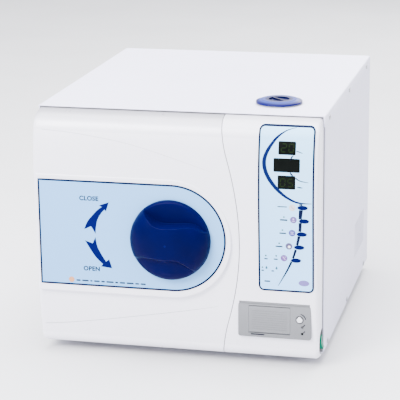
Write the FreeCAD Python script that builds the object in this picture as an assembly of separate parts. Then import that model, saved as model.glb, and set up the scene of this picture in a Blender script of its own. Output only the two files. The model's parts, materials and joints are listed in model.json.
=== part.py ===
"""Benchtop steam steriliser with a turn-knob door, label printer and top water filler.

Millimetres. +Z up, the door faces -Y. Everything is built with Y = 0 on the front plane of
the casing and Z = 0 under the feet, then moved by SHIFT_Y so that the origin is the middle of
the footprint.
"""
import FreeCAD
import Part
import math
import os

V = FreeCAD.Vector

# ---- driving dimensions -------------------------------------------------------------------
HALF_W = 224.0            # half the casing width
CASE_D = 490.0            # casing depth
FOOT_H = 17.0             # height of the rubber feet
TOP_Z = 393.5             # top of the casing
LIP = 4.5                 # forward reach of the casing lip over the fascia
LIP_T = 1.6
SHEET = 1.5               # casing sheet
WALL = 3.0                # moulded fascia wall
SHIFT_Y = -211.0          # casing front plane to the middle of the footprint

AX_X = -5.0               # chamber, door and knob axis
AX_Z = 201.5

FASCIA_TOP = 390.7        # top of the fascia, under the casing lip
FASCIA_LOW = 15.2
FASCIA_REAR = -0.8        # shadow gap to the casing
FASCIA_SIDE = HALF_W - 2.6                    # side of the right fascia, inside the casing edge
PLATEAU_Y = -46.5         # flat face that carries the door label
SEAM_X = 71.5             # ends of the door seam
SEAM_BULGE = 100.8        # seam where it passes the knob axis
SEAM_R = 450.0
SEAM_TURN = 128.0         # height above and below the axis where the seam curves back
SEAM_GAP = 0.6            # half the seam

PIN_X = -211.0            # door hinge pin
PIN_Y = -14.0
PIN_R = 3.0
CORNER_R = 13.0           # rear corner of the cover, centred on the pin
HINGE_Z = (92.0, 312.0)   # middle of each knuckle

CHAMBER_R = 92.0
CHAMBER_WALL = 2.0
CHAMBER_END = 362.0
FLANGE_Y = 5.5            # sealing land
PLATE_R = 100.5           # pressure plate
FLANGE_SCREWS = (30, 60, 120, 150, 210, 240, 300, 330)
GASKET_IN = 92.8
GASKET_OUT = 98.8
BOLT_ANGLES = (90.0, -90.0)
BOLT_IN = 18.0
BOLT_TIP = 100.0
BOLT_TRAVEL = 12.0
BOLT_PIN_R0 = 24.0
SPINDLE_R = 8.0
FREE = 0.35               # running clearance between bodies

KNOB_R = 62.7
KNOB_BACK = -47.6
KNOB_FRONT = -84.0

LABEL_AT = (AX_X + 1.5, AX_Z + 1.8)           # middle of the door label's round end
LABEL_R = 84.5
PANEL = (130.0, 215.0, 127.4, 383.6)          # control label x0 x1 z0 z1
DISPLAYS = ((160.2, 186.8, 341.2, 361.2),     # display windows x0 x1 z0 z1
            (153.4, 193.4, 315.2, 336.2),
            (159.9, 186.8, 289.4, 310.4))
KEYS = ((197.8, 262.0), (199.9, 241.2), (196.5, 220.4), (192.5, 199.4), (187.5, 178.3))
KEY_A = 7.5               # half axes of the oval keys
KEY_B = 3.1

PRN_X = (97.0, 210.6)     # printer bezel
PRN_Z = (50.4, 110.0)
PRN_Y = -38.0
PRN_DOOR_X = (114.0, 178.0)
PRN_PIN = (-36.0, 60.0)   # printer door hinge, y z
PRN_DOOR_TOP = 100.2

CAP_X = 140.0             # tank cap
CAP_Y = 72.0
CAP_R = 36.0

FAN_X = -120.0
FAN_Z = 290.0
REAR_END = 506.0          # drain barbs, the rearmost point

SIDE_SCREW_Y = (36.0, 239.0, 440.0)
SIDE_SCREW_Z = (25.5, 383.5)
REAR_SCREWS = ((-205.0, 40.0), (205.0, 40.0), (-205.0, 370.0), (205.0, 370.0))   # x, z
FOOT_AT = ((-185.0, 42.0), (185.0, 42.0), (-185.0, 450.0), (185.0, 450.0))       # x, y

INLET_X = 150.0           # mains inlet on the rear panel
INLET_Z = 60.0
DRAIN_X = (-152.0, -80.0)
DRAIN_Z = 51.0
VALVE_X = 20.0            # safety valve
VALVE_Z = 345.0

SW_Y = -9.6               # middle of the power switch
SW_Z = 39.0
SW_H = 14.6               # half the height of the switch body
NOTCH_H = 18.0            # half the height of the notch at the casing seam
ROCK_X = HALF_W - 7.0
ROCK_H = 10.0             # half the height of the rocker
ROCK_REST = 8.0           # the switch rests with its top pressed in

BTN_X = 192.8             # printer buttons and lamp
BTN_Z = 82.8
SMALL_X = 196.8
SMALL_Z = (71.0, 60.4)
ROLL = (20.0, 82.0)       # paper roll axis, y z
ROLL_R = 18.5
PLATEN = (-26.0, 95.0)    # platen axis, y z
PLATEN_R = 4.5

TRAY_Z = (-42.0, 0.0, 42.0)
TRAY_HALF = 66.0
TANK = (104.0, 217.0, 26.0, 330.0, 272.0, 374.0)    # x0 x1 y0 y1 z0 z1
CAP_Z = TOP_Z + 3.4       # underside of the cap's crown
ARM_Y = (-24.0, -16.6)    # front and rear face of the door arm


# ---- helpers --------------------------------------------------------------------------------
def box(x0, x1, y0, y1, z0, z1):
    return Part.makeBox(x1 - x0, y1 - y0, z1 - z0, V(x0, y0, z0))


def cyl_y(x, z, y0, y1, r):
    return Part.makeCylinder(r, y1 - y0, V(x, y0, z), V(0, 1, 0))


def cyl_z(x, y, z0, z1, r):
    return Part.makeCylinder(r, z1 - z0, V(x, y, z0), V(0, 0, 1))


def cyl_x(y, z, x0, x1, r):
    return Part.makeCylinder(r, x1 - x0, V(x0, y, z), V(1, 0, 0))


def tube_y(x, z, y0, y1, r_out, r_in):
    return cyl_y(x, z, y0, y1, r_out).cut(cyl_y(x, z, y0 - 1, y1 + 1, r_in))


def fuse(shapes):
    out = shapes[0]
    for s in shapes[1:]:
        out = out.fuse(s)
    return out.removeSplitter()


def cut(shape, tools):
    for t in tools:
        shape = shape.cut(t)
    return shape


def prism(edges, direction):
    return Part.Face(Part.Wire(edges)).extrude(direction)


def line(a, b):
    return Part.LineSegment(a, b).toShape()


def arc(a, b, c):
    return Part.Arc(a, b, c).toShape()


def rounded_prism(x0, x1, z0, z1, r, y0, y1):
    """Rounded rectangle seen from the front, from y0 to y1."""
    k = r * (1 - math.sqrt(0.5))
    p = [V(x0 + r, y0, z0), V(x1 - r, y0, z0), V(x1, y0, z0 + r), V(x1, y0, z1 - r),
         V(x1 - r, y0, z1), V(x0 + r, y0, z1), V(x0, y0, z1 - r), V(x0, y0, z0 + r)]
    m = [V(x1 - k, y0, z0 + k), V(x1 - k, y0, z1 - k), V(x0 + k, y0, z1 - k), V(x0 + k, y0, z0 + k)]
    edges = [line(p[0], p[1]), arc(p[1], m[0], p[2]), line(p[2], p[3]), arc(p[3], m[1], p[4]),
             line(p[4], p[5]), arc(p[5], m[2], p[6]), line(p[6], p[7]), arc(p[7], m[3], p[0])]
    return prism(edges, V(0, y1 - y0, 0))


def rounded_plan(x0, x1, y0, y1, r, z0, z1):
    """Rounded rectangle seen from above, from z0 to z1."""
    block = box(x0, x1, y0, y1, z0, z1)
    upright = [e for e in block.Edges if abs(e.tangentAt(e.FirstParameter).z) > 0.99]
    return block.makeFillet(r, upright)


def stadium(x0, cx, cz, r, y0, y1):
    """Square left end at x0, half-round right end of radius r about (cx, cz)."""
    a = V(x0, y0, cz - r)
    b = V(cx, y0, cz - r)
    c = V(cx, y0, cz + r)
    d = V(x0, y0, cz + r)
    edges = [line(a, b), arc(b, V(cx + r, y0, cz), c), line(c, d), line(d, a)]
    return prism(edges, V(0, y1 - y0, 0))


def ellipse_prism(cx, cz, a, b, y0, y1):
    e = Part.Ellipse(V(cx, y0, cz), a, b)
    e.Axis = V(0, -1, 0)
    e.XAxis = V(1, 0, 0)
    return prism([e.toShape()], V(0, y1 - y0, 0))


def polar(shape, angle):
    """Turn a shape built along +X from the knob axis to another clock position."""
    out = shape.copy()
    out.rotate(V(AX_X, 0, AX_Z), V(0, -1, 0), angle)
    return out


PARTS = {}


def keep(name, shape):
    PARTS[name] = shape


# ---- fascia form shared by the door cover and the right fascia -----------------------------
def fascia_form(x0, x1, d=0.0, rear=FASCIA_REAR, proud=0.0):
    """Side profile extruded across: sloping top, rolled shoulder, long bowed front."""
    y = d - proud
    z = proud * 0.8 - d
    a = V(x0, rear, FASCIA_TOP + z)
    b = V(x0, -13.0 + y, 388.4 + z)
    roll = V(x0, -30.0 + y, 379.4 + z)
    c = V(x0, -38.0 + y, 362.4 + z)
    bow = [c, V(x0, -44.4 + y, 320.0), V(x0, -45.6 + y, 268.0), V(x0, -41.5 + y, 180.0),
           V(x0, -29.8 + y, 32.0 + d)]
    low_mid = V(x0, -26.2 + y, FASCIA_LOW + 4.0 + d)
    low = V(x0, -17.0 + y, FASCIA_LOW + d)
    end = V(x0, rear, FASCIA_LOW + d)
    front = Part.BSplineCurve()
    front.interpolate(bow, InitialTangent=V(0, -6.0, -19.0), FinalTangent=V(0, 2.4, -17.0))
    edges = [line(a, b), arc(b, roll, c), front.toShape(), arc(bow[-1], low_mid, low),
             line(low, end), line(end, a)]
    return prism(edges, V(x1 - x0, 0, 0))


def door_side(shift, y0=-70.0, y1=6.0):
    """Everything left of the door seam, as a prism; shift moves the seam sideways."""
    reach = math.degrees(math.asin(SEAM_TURN / SEAM_R))
    x_in = SEAM_BULGE - SEAM_R * (1 - math.cos(math.radians(reach)))
    r2 = (x_in - SEAM_X) / (1 - math.cos(math.radians(reach)))
    dz = SEAM_TURN + r2 * math.sin(math.radians(reach))
    half = math.radians(reach / 2)
    mid_x = SEAM_X + r2 * (1 - math.cos(half))
    mid_z = dz - r2 * math.sin(half)

    def at(x, z):
        return V(x + shift, y0, AX_Z + z)

    far = -320.0
    edges = [line(V(far, y0, -20.0), V(SEAM_X + shift, y0, -20.0)),
             line(V(SEAM_X + shift, y0, -20.0), at(SEAM_X, -dz)),
             arc(at(SEAM_X, -dz), at(mid_x, -mid_z), at(x_in, -SEAM_TURN)),
             arc(at(x_in, -SEAM_TURN), at(SEAM_BULGE, 0), at(x_in, SEAM_TURN)),
             arc(at(x_in, SEAM_TURN), at(mid_x, mid_z), at(SEAM_X, dz)),
             line(at(SEAM_X, dz), V(SEAM_X + shift, y0, 420.0)),
             line(V(SEAM_X + shift, y0, 420.0), V(far, y0, 420.0)),
             line(V(far, y0, 420.0), V(far, y0, -20.0))]
    return prism(edges, V(0, y1 - y0, 0))


def soften_end(shape, x_end, radius):
    """Round the upright front edge of the fascia at one end."""
    picked = []
    for e in shape.Edges:
        bb = e.BoundBox
        if abs(bb.XMin - x_end) < 0.01 and abs(bb.XMax - x_end) < 0.01 and bb.YMax < -12.5:
            picked.append(e)
    return shape.makeFillet(radius, picked)


def build_door_cover():
    outer = soften_end(fascia_form(-HALF_W, 130.0), -HALF_W, 8.0)
    plateau = stadium(-HALF_W + 5.0, AX_X, AX_Z, 94.0, PLATEAU_Y, -30.0)
    rim = [e for e in plateau.Edges if abs(e.BoundBox.YMax - PLATEAU_Y) < 0.01]
    plateau = plateau.makeFillet(2.2, rim)
    outer = outer.fuse(plateau)
    outer = outer.common(door_side(-SEAM_GAP))
    # rear left corner follows the hinge pin
    corner = box(-HALF_W - 2, PIN_X, PIN_Y, 2, 0, 400)
    corner = corner.cut(cyl_z(PIN_X, PIN_Y, -1, 401, CORNER_R))
    outer = outer.cut(corner)
    inner = fascia_form(-HALF_W + WALL, 130.0, d=WALL, rear=2.0).common(door_side(-SEAM_GAP - WALL))
    keep_corner = box(-HALF_W - 2, PIN_X, PIN_Y, 2, 0, 400)
    keep_corner = keep_corner.cut(cyl_z(PIN_X, PIN_Y, -1, 401, CORNER_R - WALL))
    inner = inner.cut(keep_corner)
    cover = outer.cut(inner)
    for z in HINGE_Z:
        cover = cover.cut(box(-HALF_W - 2, PIN_X + 8.5, PIN_Y - 16, 2, z - 13, z + 13))
    cover = cover.cut(cyl_y(AX_X, AX_Z, -60, -30, 15.0))
    posts = []
    for dx, dz in ((-140, 35), (-140, -35), (0, 47), (0, -47)):
        posts.append(cyl_y(AX_X + dx, AX_Z + dz, -42.0, -24.0, 5.0))
    return fuse([cover] + posts)


# ---- casing ----------------------------------------------------------------------------------
def build_casing():
    outer = box(-HALF_W, HALF_W, 0, CASE_D, FOOT_H + 2.2, TOP_Z)
    long_top = []
    for e in outer.Edges:
        bb = e.BoundBox
        if bb.YLength > CASE_D - 1 and bb.ZMin > TOP_Z - 1:
            long_top.append(e)
    outer = outer.makeFillet(3.0, long_top)
    inner = box(-HALF_W + SHEET, HALF_W - SHEET, -1, CASE_D + 1, 0, TOP_Z - SHEET)
    shell = outer.cut(inner)
    lip = box(-HALF_W + 4, HALF_W - 4, -LIP, 0.5, TOP_Z - LIP_T, TOP_Z)
    lip = lip.makeFillet(0.9, [e for e in lip.Edges if e.BoundBox.YMax < 0.1 - LIP
                               and e.BoundBox.ZMin > TOP_Z - 0.1])
    corner = box(HALF_W - 2.5, HALF_W, -LIP, 0.5, TOP_Z - 17, TOP_Z)
    corner = corner.fuse(box(HALF_W - 12, HALF_W, -LIP, 0.5, TOP_Z - LIP_T, TOP_Z))
    edge = [e for e in corner.removeSplitter().Edges
            if e.BoundBox.XMin > HALF_W - 0.1 and e.BoundBox.ZMin > TOP_Z - 0.1]
    corner = corner.removeSplitter().makeFillet(4.0 - 1.6, edge)
    left = box(-HALF_W, -HALF_W + 5, -LIP, 0.5, TOP_Z - LIP_T, TOP_Z)
    left = left.makeFillet(1.5, [e for e in left.Edges if e.BoundBox.XMax < -HALF_W + 0.1
                                 and e.BoundBox.ZMin > TOP_Z - 0.1])
    shell = fuse([shell, lip, corner, left])
    shell = shell.cut(cyl_z(CAP_X, CAP_Y, TOP_Z - 10, TOP_Z + 5, 27.0))
    for y in SIDE_SCREW_Y:
        for z in SIDE_SCREW_Z:
            shell = shell.cut(cyl_x(y, z, -HALF_W - 1, HALF_W + 1, 2.2))
    # cooling louvres low on both sides towards the rear
    for i in range(8):
        y = 330.0 + 14.0 * i
        for side in (-1, 1):
            slot = box(-3, 3, y, y + 5, 70, 130)
            slot.translate(V(side * HALF_W, 0, 0))
            shell = shell.cut(slot)
    return shell


def build_base_tray():
    w = HALF_W - 2.0
    plate = box(-w, w, 1.0, CASE_D - 1.0, FOOT_H, FOOT_H + 2.0)
    sides = []
    for side in (-1, 1):
        x = side * (HALF_W - SHEET - 0.2)
        flange = box(min(x, x - side * 1.5), max(x, x - side * 1.5), 6, CASE_D - 6,
                     FOOT_H + 1, FOOT_H + 14)
        sides.append(flange)
    front = box(-w + 6, w - 6, 4.0, 5.5, FOOT_H + 1, FOOT_H + 16)
    rear = box(-w + 6, w - 6, CASE_D - 7.0, CASE_D - 5.5, FOOT_H + 1, FOOT_H + 14)
    tray = fuse([plate, front, rear] + sides)
    for i in range(12):
        x = -110.0 + 20.0 * i
        tray = tray.cut(box(x, x + 6, 395, 435, FOOT_H - 1, FOOT_H + 3))
    for y in SIDE_SCREW_Y:
        tray = tray.cut(cyl_x(y, SIDE_SCREW_Z[0], -HALF_W, HALF_W, 2.2))
    for x, y in FOOT_AT:
        tray = tray.cut(cyl_z(x, y, FOOT_H - 1, FOOT_H + 3, 2.2))
    return tray


def build_feet():
    feet = []
    for x, y in FOOT_AT:
        cone = Part.makeCone(17.0, 20.0, FOOT_H, V(x, y, 0))
        rim = [e for e in cone.Edges if e.BoundBox.ZMax < 0.1]
        cone = cone.makeFillet(2.0, rim)
        cone = cone.cut(cyl_z(x, y, -1, 6, 7.0))
        stud = cyl_z(x, y, FOOT_H - 0.5, FOOT_H + 6, 2.0)
        feet.append(fuse([cone, stud]))
    return Part.makeCompound(feet)


def build_front_frame():
    w = HALF_W - SHEET - 0.3
    z0 = FOOT_H + 2.4
    z1 = TOP_Z - SHEET - 0.3
    frame = box(-w, w, 0.5, 2.5, z0, z1)
    frame = frame.cut(cyl_y(AX_X, AX_Z, 0, 4, 103.0))
    frame = frame.cut(box(106, 206, 0, 4, 56, 107))
    frame = frame.cut(box(118, 206, 0, 4, 140, 250))
    left = box(-w, -w + 1.5, 0.5, 22, z0 + 18, z1)
    right = box(w - 1.5, w, 0.5, 22, z0 + 18, z1)
    top = box(-w, w, 0.5, 22, z1 - 1.5, z1)
    frame = fuse([frame, left, right, top])
    frame = frame.cut(cyl_z(CAP_X, CAP_Y, z1 - 10, z1 + 5, 30.0))
    for a in FLANGE_SCREWS:
        frame = frame.cut(polar(cyl_y(AX_X + 113.0, AX_Z, 0, 4, 2.6), a))
    for y in SIDE_SCREW_Y[:1]:
        frame = frame.cut(cyl_x(y, SIDE_SCREW_Z[1], -HALF_W, HALF_W, 2.2))
    return frame


def build_rear_panel():
    w = HALF_W - SHEET - 0.3
    z0 = FOOT_H + 2.4
    z1 = TOP_Z - SHEET - 0.3
    panel = box(-w, w, CASE_D - 3.0, CASE_D - 1.5, z0, z1)
    top = box(-w, w, CASE_D - 18, CASE_D - 1.5, z1 - 1.5, z1)
    panel = fuse([panel, top])
    for ring in range(5):
        r0 = 9.0 + 10.0 * ring
        slot = tube_y(FAN_X, FAN_Z, CASE_D - 5, CASE_D, r0 + 6.5, r0)
        bars = [box(FAN_X - 60, FAN_X + 60, CASE_D - 6, CASE_D + 1, FAN_Z - 2.5, FAN_Z + 2.5),
                box(FAN_X - 2.5, FAN_X + 2.5, CASE_D - 6, CASE_D + 1, FAN_Z - 60, FAN_Z + 60)]
        panel = panel.cut(cut(slot, bars))
    for i in range(10):
        panel = panel.cut(box(70, 190, CASE_D - 5, CASE_D, 250 + 9 * i, 254 + 9 * i))
    panel = panel.cut(box(INLET_X - 24.4, INLET_X + 24.4, CASE_D - 5, CASE_D,
                          INLET_Z - 14.4, INLET_Z + 14.4))
    for x in DRAIN_X:
        panel = panel.cut(cyl_y(x, DRAIN_Z, CASE_D - 5, CASE_D, 8.3))
    panel = panel.cut(cyl_y(VALVE_X, VALVE_Z, CASE_D - 5, CASE_D, 10.3))
    for x, z in REAR_SCREWS:
        panel = panel.cut(cyl_y(x, z, CASE_D - 5, CASE_D, 2.2))
    return panel


def build_screws():
    """Pan-head casing screws, all the same."""
    heads = []

    def screw(origin, out):
        head = Part.makeCylinder(4.2, 1.6, origin, out)
        rim = [e for e in head.Edges if e.Length > 20]
        far = max(rim, key=lambda e: (e.BoundBox.Center - origin).Length)
        head = head.makeFillet(0.8, [far])
        shank = Part.makeCylinder(1.9, 9.0, origin, out * -1)
        slot = Part.makeBox(1.0, 7.0, 7.0, V(-0.5, -3.5, -3.5))
        if abs(out.x) > 0.5:
            slot = Part.makeBox(1.6, 1.0, 6.4, V(-0.8, -0.5, -3.2))
            slot.translate(origin + out * 1.6)
        else:
            slot = Part.makeBox(1.0, 1.6, 6.4, V(-0.5, -0.8, -3.2))
            slot.translate(origin + out * 1.6)
        return head.fuse(shank).cut(slot).removeSplitter()

    for y in SIDE_SCREW_Y:
        for z in SIDE_SCREW_Z:
            heads.append(screw(V(HALF_W, y, z), V(1, 0, 0)))
            heads.append(screw(V(-HALF_W, y, z), V(-1, 0, 0)))
    for x, z in REAR_SCREWS:
        heads.append(screw(V(x, CASE_D - 1.5, z), V(0, 1, 0)))
    return Part.makeCompound(heads)


# ---- right fascia, control panel ------------------------------------------------------------
def right_region(shift, y0=-70.0, y1=6.0):
    return box(0, 400, y0, y1, -30, 430).cut(door_side(shift, y0, y1))


def panel_strip(inner, outer, x0, x1):
    """Layer that follows the bow, from inner to outer millimetres proud of it."""
    big = fascia_form(x0, x1, proud=outer)
    small = fascia_form(x0 - 1, x1 + 1, proud=inner)
    return big.cut(small)


def build_right_fascia():
    outer = soften_end(fascia_form(60.0, FASCIA_SIDE), FASCIA_SIDE, 6.5)
    outer = outer.common(right_region(SEAM_GAP))
    inner = fascia_form(60.0, FASCIA_SIDE - WALL, d=WALL, rear=2.0)
    inner = inner.common(right_region(SEAM_GAP + WALL))
    fascia = outer.cut(inner)
    # clearance round the turned-down corner of the casing lip
    fascia = fascia.cut(box(HALF_W - 3.7, HALF_W + 1, -LIP - 1.2, 1, TOP_Z - 18.2, TOP_Z))
    for x0, x1, z0, z1 in DISPLAYS:
        fascia = fascia.cut(box(x0 - 0.4, x1 + 0.4, -60, -20, z0 - 0.4, z1 + 0.4))
    for x, z in KEYS:
        fascia = fascia.cut(ellipse_prism(x, z, KEY_A + 0.5, KEY_B + 0.5, -60, -20))
    fascia = fascia.cut(box(PRN_X[0] + 2, PRN_X[1] - 2, -60, -6, PRN_Z[0] + 2, PRN_Z[1] - 2))
    fascia = fascia.cut(power_notch(10.0))
    # pocket that closes the notch on the inside
    pocket = power_notch(12.0, grow=2.0).common(fascia_form(60.0, FASCIA_SIDE, d=0.4, rear=-1.0))
    pocket = pocket.cut(power_notch(10.0))
    pocket = pocket.cut(box(190, 226, SW_Y - 6.9, SW_Y + 6.9, SW_Z - SW_H - 0.2, SW_Z + SW_H + 0.2))
    return fuse([fascia, pocket])


def power_notch(depth, grow=0.0):
    """Lens-shaped recess in the side of the fascia, open to the casing seam."""
    a = V(HALF_W - depth, 3.0, SW_Z - NOTCH_H - grow)
    b = V(HALF_W - depth, -27.0 - grow, SW_Z)
    c = V(HALF_W - depth, 3.0, SW_Z + NOTCH_H + grow)
    return prism([arc(a, b, c), line(c, a)], V(depth + 2.0, 0, 0))


def build_control_label():
    x0, x1, z0, z1 = PANEL
    strip = panel_strip(0, 0.6, x0, x1)
    strip = strip.common(rounded_prism(x0, x1, z0, z1, 8.0, -60, 0))
    for a, b, c, d in DISPLAYS:
        strip = strip.cut(rounded_prism(a, b, c, d, 2.0, -60, 0))
    for x, z in KEYS:
        strip = strip.cut(ellipse_prism(x, z, KEY_A + 0.5, KEY_B + 0.5, -60, 0))
    return strip


def build_displays():
    out = []
    for x0, x1, z0, z1 in DISPLAYS:
        lens = fascia_form(x0, x1, proud=0.3).common(
            rounded_prism(x0 + 0.2, x1 - 0.2, z0 + 0.2, z1 - 0.2, 1.8, -60, -31.0))
        out.append(lens)
    return Part.makeCompound(out)


def build_key(x, z):
    body = fascia_form(x - 10, x + 10, proud=1.2)
    body = body.common(ellipse_prism(x, z, KEY_A, KEY_B, -60, -38.6))
    stem = cyl_y(x, z, -39.0, -32.6, 1.8)
    return fuse([body, stem])


def build_control_board():
    board = box(136, 209, -30.0, -28.4, 160, 362)
    bits = [board]
    for x, z in KEYS:
        bits.append(box(x - 3, x + 3, -31.2, -29.5, z - 3, z + 3))
    for x0, x1, z0, z1 in DISPLAYS:
        bits.append(box(x0 + 1, x1 - 1, -31.0, -29.5, z0 + 1, z1 - 1))
    bits.append(box(140, 154, -28.5, -22, 180, 200))
    bits.append(box(165, 190, -28.5, -24, 205, 230))
    for z in (168, 352):
        for x in (141, 204):
            bits.append(cyl_y(x, z, -28.5, 0.5, 3.0))
    return fuse(bits)


# ---- printer ---------------------------------------------------------------------------------
def build_printer_housing():
    x0, x1 = PRN_X
    z0, z1 = PRN_Z
    bezel = rounded_prism(x0, x1, z0, z1, 4.0, PRN_Y, -24.0)
    front = [e for e in bezel.Edges if abs(e.BoundBox.YMax - PRN_Y) < 0.01]
    bezel = bezel.makeFillet(1.4, front)
    fit = box(x0 + 2.6, x1 - 2.6, -30, -18, z0 + 2.6, z1 - 2.6)
    outside = bezel.common(box(x0 - 1, x1 + 1, -60, -24, z0 - 1, z1 + 1))
    shadow = fascia_form(x0 - 2, x1 + 2, proud=0.1)
    body = outside.cut(shadow).fuse(fit.cut(box(0, 300, -60, -37, 0, 200)))
    plug = rounded_prism(x0 + 2.6, x1 - 2.6, z0 + 2.6, z1 - 2.6, 2.0, PRN_Y + 1.4, -20.0)
    bucket = box(108, 204, -20.5, 48, 58, 105)
    body = fuse([body, plug, bucket])
    d0, d1 = PRN_DOOR_X
    # paper bay behind the door, door opening and barrel pocket
    body = body.cut(box(d0 + 1.5, d1 - 1.5, -31.5, 45, 61.5, 102.5))
    body = body.cut(box(d0 - 0.3, d1 + 0.3, -60, -31.5, PRN_PIN[1], PRN_DOOR_TOP + 1.3))
    body = body.cut(cyl_x(PRN_PIN[0], PRN_PIN[1], d0 - 0.3, d1 + 0.3, 2.9))
    body = body.cut(box(d0 - 0.3, d1 + 0.3, -60, PRN_PIN[0], PRN_PIN[1] - 2.9, PRN_PIN[1] + 1))
    # electronics bay
    body = body.cut(box(183, 200, -20.0, 45, 62, 101))
    body = body.cut(cyl_y(BTN_X, BTN_Z, -60, 0, 5.2))
    for z in SMALL_Z:
        body = body.cut(cyl_y(SMALL_X, z, -60, 0, 2.0))
    for s in (d0 - 3.3, d1 + 0.2):
        body = body.cut(cyl_x(PRN_PIN[0], PRN_PIN[1], s, s + 3.1, 1.35))
    spindle_l = cyl_x(ROLL[0], ROLL[1], d0 + 1.0, d0 + 5.0, 5.0)
    spindle_r = cyl_x(ROLL[0], ROLL[1], d1 - 5.0, d1 - 1.0, 5.0)
    return fuse([body, spindle_l, spindle_r])


def build_printer_door():
    d0, d1 = PRN_DOOR_X
    y, z = PRN_PIN
    plate = box(d0, d1, PRN_Y, PRN_Y + 2.6, z, PRN_DOOR_TOP)
    barrel = cyl_x(y, z, d0, d1, 2.3)
    pins = cyl_x(y, z, d0 - 2.6, d1 + 2.6, 1.0)
    lugs = []
    for x in (d0 + 2.0, d1 - 4.0):
        lug = box(x, x + 2.0, PRN_Y + 2, PLATEN[0], PLATEN[1] - 4, PLATEN[1] + 4)
        lug = lug.fuse(cyl_x(PLATEN[0], PLATEN[1], x, x + 2.0, 4.0))
        lugs.append(lug.cut(cyl_x(PLATEN[0], PLATEN[1], x - 1, x + 3, 1.56)))
    grooves = []
    for i in range(9):
        grooves.append(box(d0 + 5, d1 - 5, PRN_Y - 1, PRN_Y + 0.35,
                           64 + 3.6 * i, 65 + 3.6 * i))
    return cut(fuse([plate, barrel, pins] + lugs), grooves)


def build_platen():
    d0, d1 = PRN_DOOR_X
    roller = cyl_x(PLATEN[0], PLATEN[1], d0 + 4.6, d1 - 4.6, PLATEN_R)
    shaft = cyl_x(PLATEN[0], PLATEN[1], d0 + 1.9, d1 - 1.9, 1.5)
    return fuse([roller, shaft])


def build_paper_roll():
    d0, d1 = PRN_DOOR_X
    roll = cyl_x(ROLL[0], ROLL[1], d0 + 2.4, d1 - 2.4, ROLL_R)
    return roll.cut(cyl_x(ROLL[0], ROLL[1], d0, d1, 5.06))


def build_release_button():
    cap = cyl_y(BTN_X, BTN_Z, PRN_Y - 1.6, -24.5, 4.7)
    rim = [e for e in cap.Edges if abs(e.BoundBox.YMax - (PRN_Y - 1.6)) < 0.01]
    return cap.makeFillet(1.2, rim)


def build_feed_button():
    return cyl_y(SMALL_X, SMALL_Z[0], PRN_Y - 0.8, -24.5, 1.6)


def build_printer_lamp():
    lens = cyl_y(SMALL_X, SMALL_Z[1], PRN_Y - 0.4, -24.5, 1.9)
    rim = [e for e in lens.Edges if abs(e.BoundBox.YMax - (PRN_Y - 0.4)) < 0.01]
    return lens.makeFillet(0.5, rim)


# ---- power switch -----------------------------------------------------------------------------
def build_switch_housing():
    body = box(192, HALF_W - 4.0, SW_Y - 6.7, SW_Y + 6.7, SW_Z - SW_H, SW_Z + SW_H)
    body = body.cut(box(200, 226, SW_Y - 5.2, SW_Y + 5.2, SW_Z - SW_H + 1.6, SW_Z + SW_H - 1.6))
    for y in (-4.0, 0.0, 4.0):
        body = body.fuse(box(184, 193, SW_Y + y - 0.4, SW_Y + y + 0.4, SW_Z - 3, SW_Z + 3))
    for s in (-1, 1):
        y = SW_Y + s * 5.9
        body = body.cut(Part.makeCylinder(1.36, 1.8, V(ROCK_X, y - 0.9, SW_Z), V(0, 1, 0)))
    return body.removeSplitter()


def build_rocker():
    r = 12.4
    w = 4.8
    h = ROCK_H
    # two flats meeting in a shallow valley on the pivot line
    pts = [V(ROCK_X - 2.0, SW_Y - w, SW_Z - 4.0), V(ROCK_X + 1.5, SW_Y - w, SW_Z - h + 0.4),
           V(ROCK_X + 7.4, SW_Y - w, SW_Z - h), V(ROCK_X + 5.2, SW_Y - w, SW_Z),
           V(ROCK_X + 7.4, SW_Y - w, SW_Z + h), V(ROCK_X + 1.5, SW_Y - w, SW_Z + h - 0.4),
           V(ROCK_X - 2.0, SW_Y - w, SW_Z + 4.0)]
    edges = [line(pts[i], pts[(i + 1) % len(pts)]) for i in range(len(pts))]
    body = prism(edges, V(0, 2 * w, 0))
    body = body.common(Part.makeCylinder(r, 2 * w, V(ROCK_X, SW_Y - w, SW_Z), V(0, 1, 0)))
    pins = Part.makeCylinder(1.3, 2 * w + 2.4, V(ROCK_X, SW_Y - w - 1.2, SW_Z), V(0, 1, 0))
    rocker = fuse([body, pins])
    rocker.rotate(V(ROCK_X, SW_Y, SW_Z), V(0, 1, 0), -ROCK_REST)
    return rocker


# ---- chamber ----------------------------------------------------------------------------------
def build_flange():
    ring = tube_y(AX_X, AX_Z, 2.7, 17.7, 122.0, CHAMBER_R)
    ring = ring.cut(cyl_y(AX_X, AX_Z, 2.0, FLANGE_Y, 103.0))
    for a in FLANGE_SCREWS:
        ring = ring.cut(polar(cyl_y(AX_X + 113.0, AX_Z, 2, 12, 2.1), a))
    return ring


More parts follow.
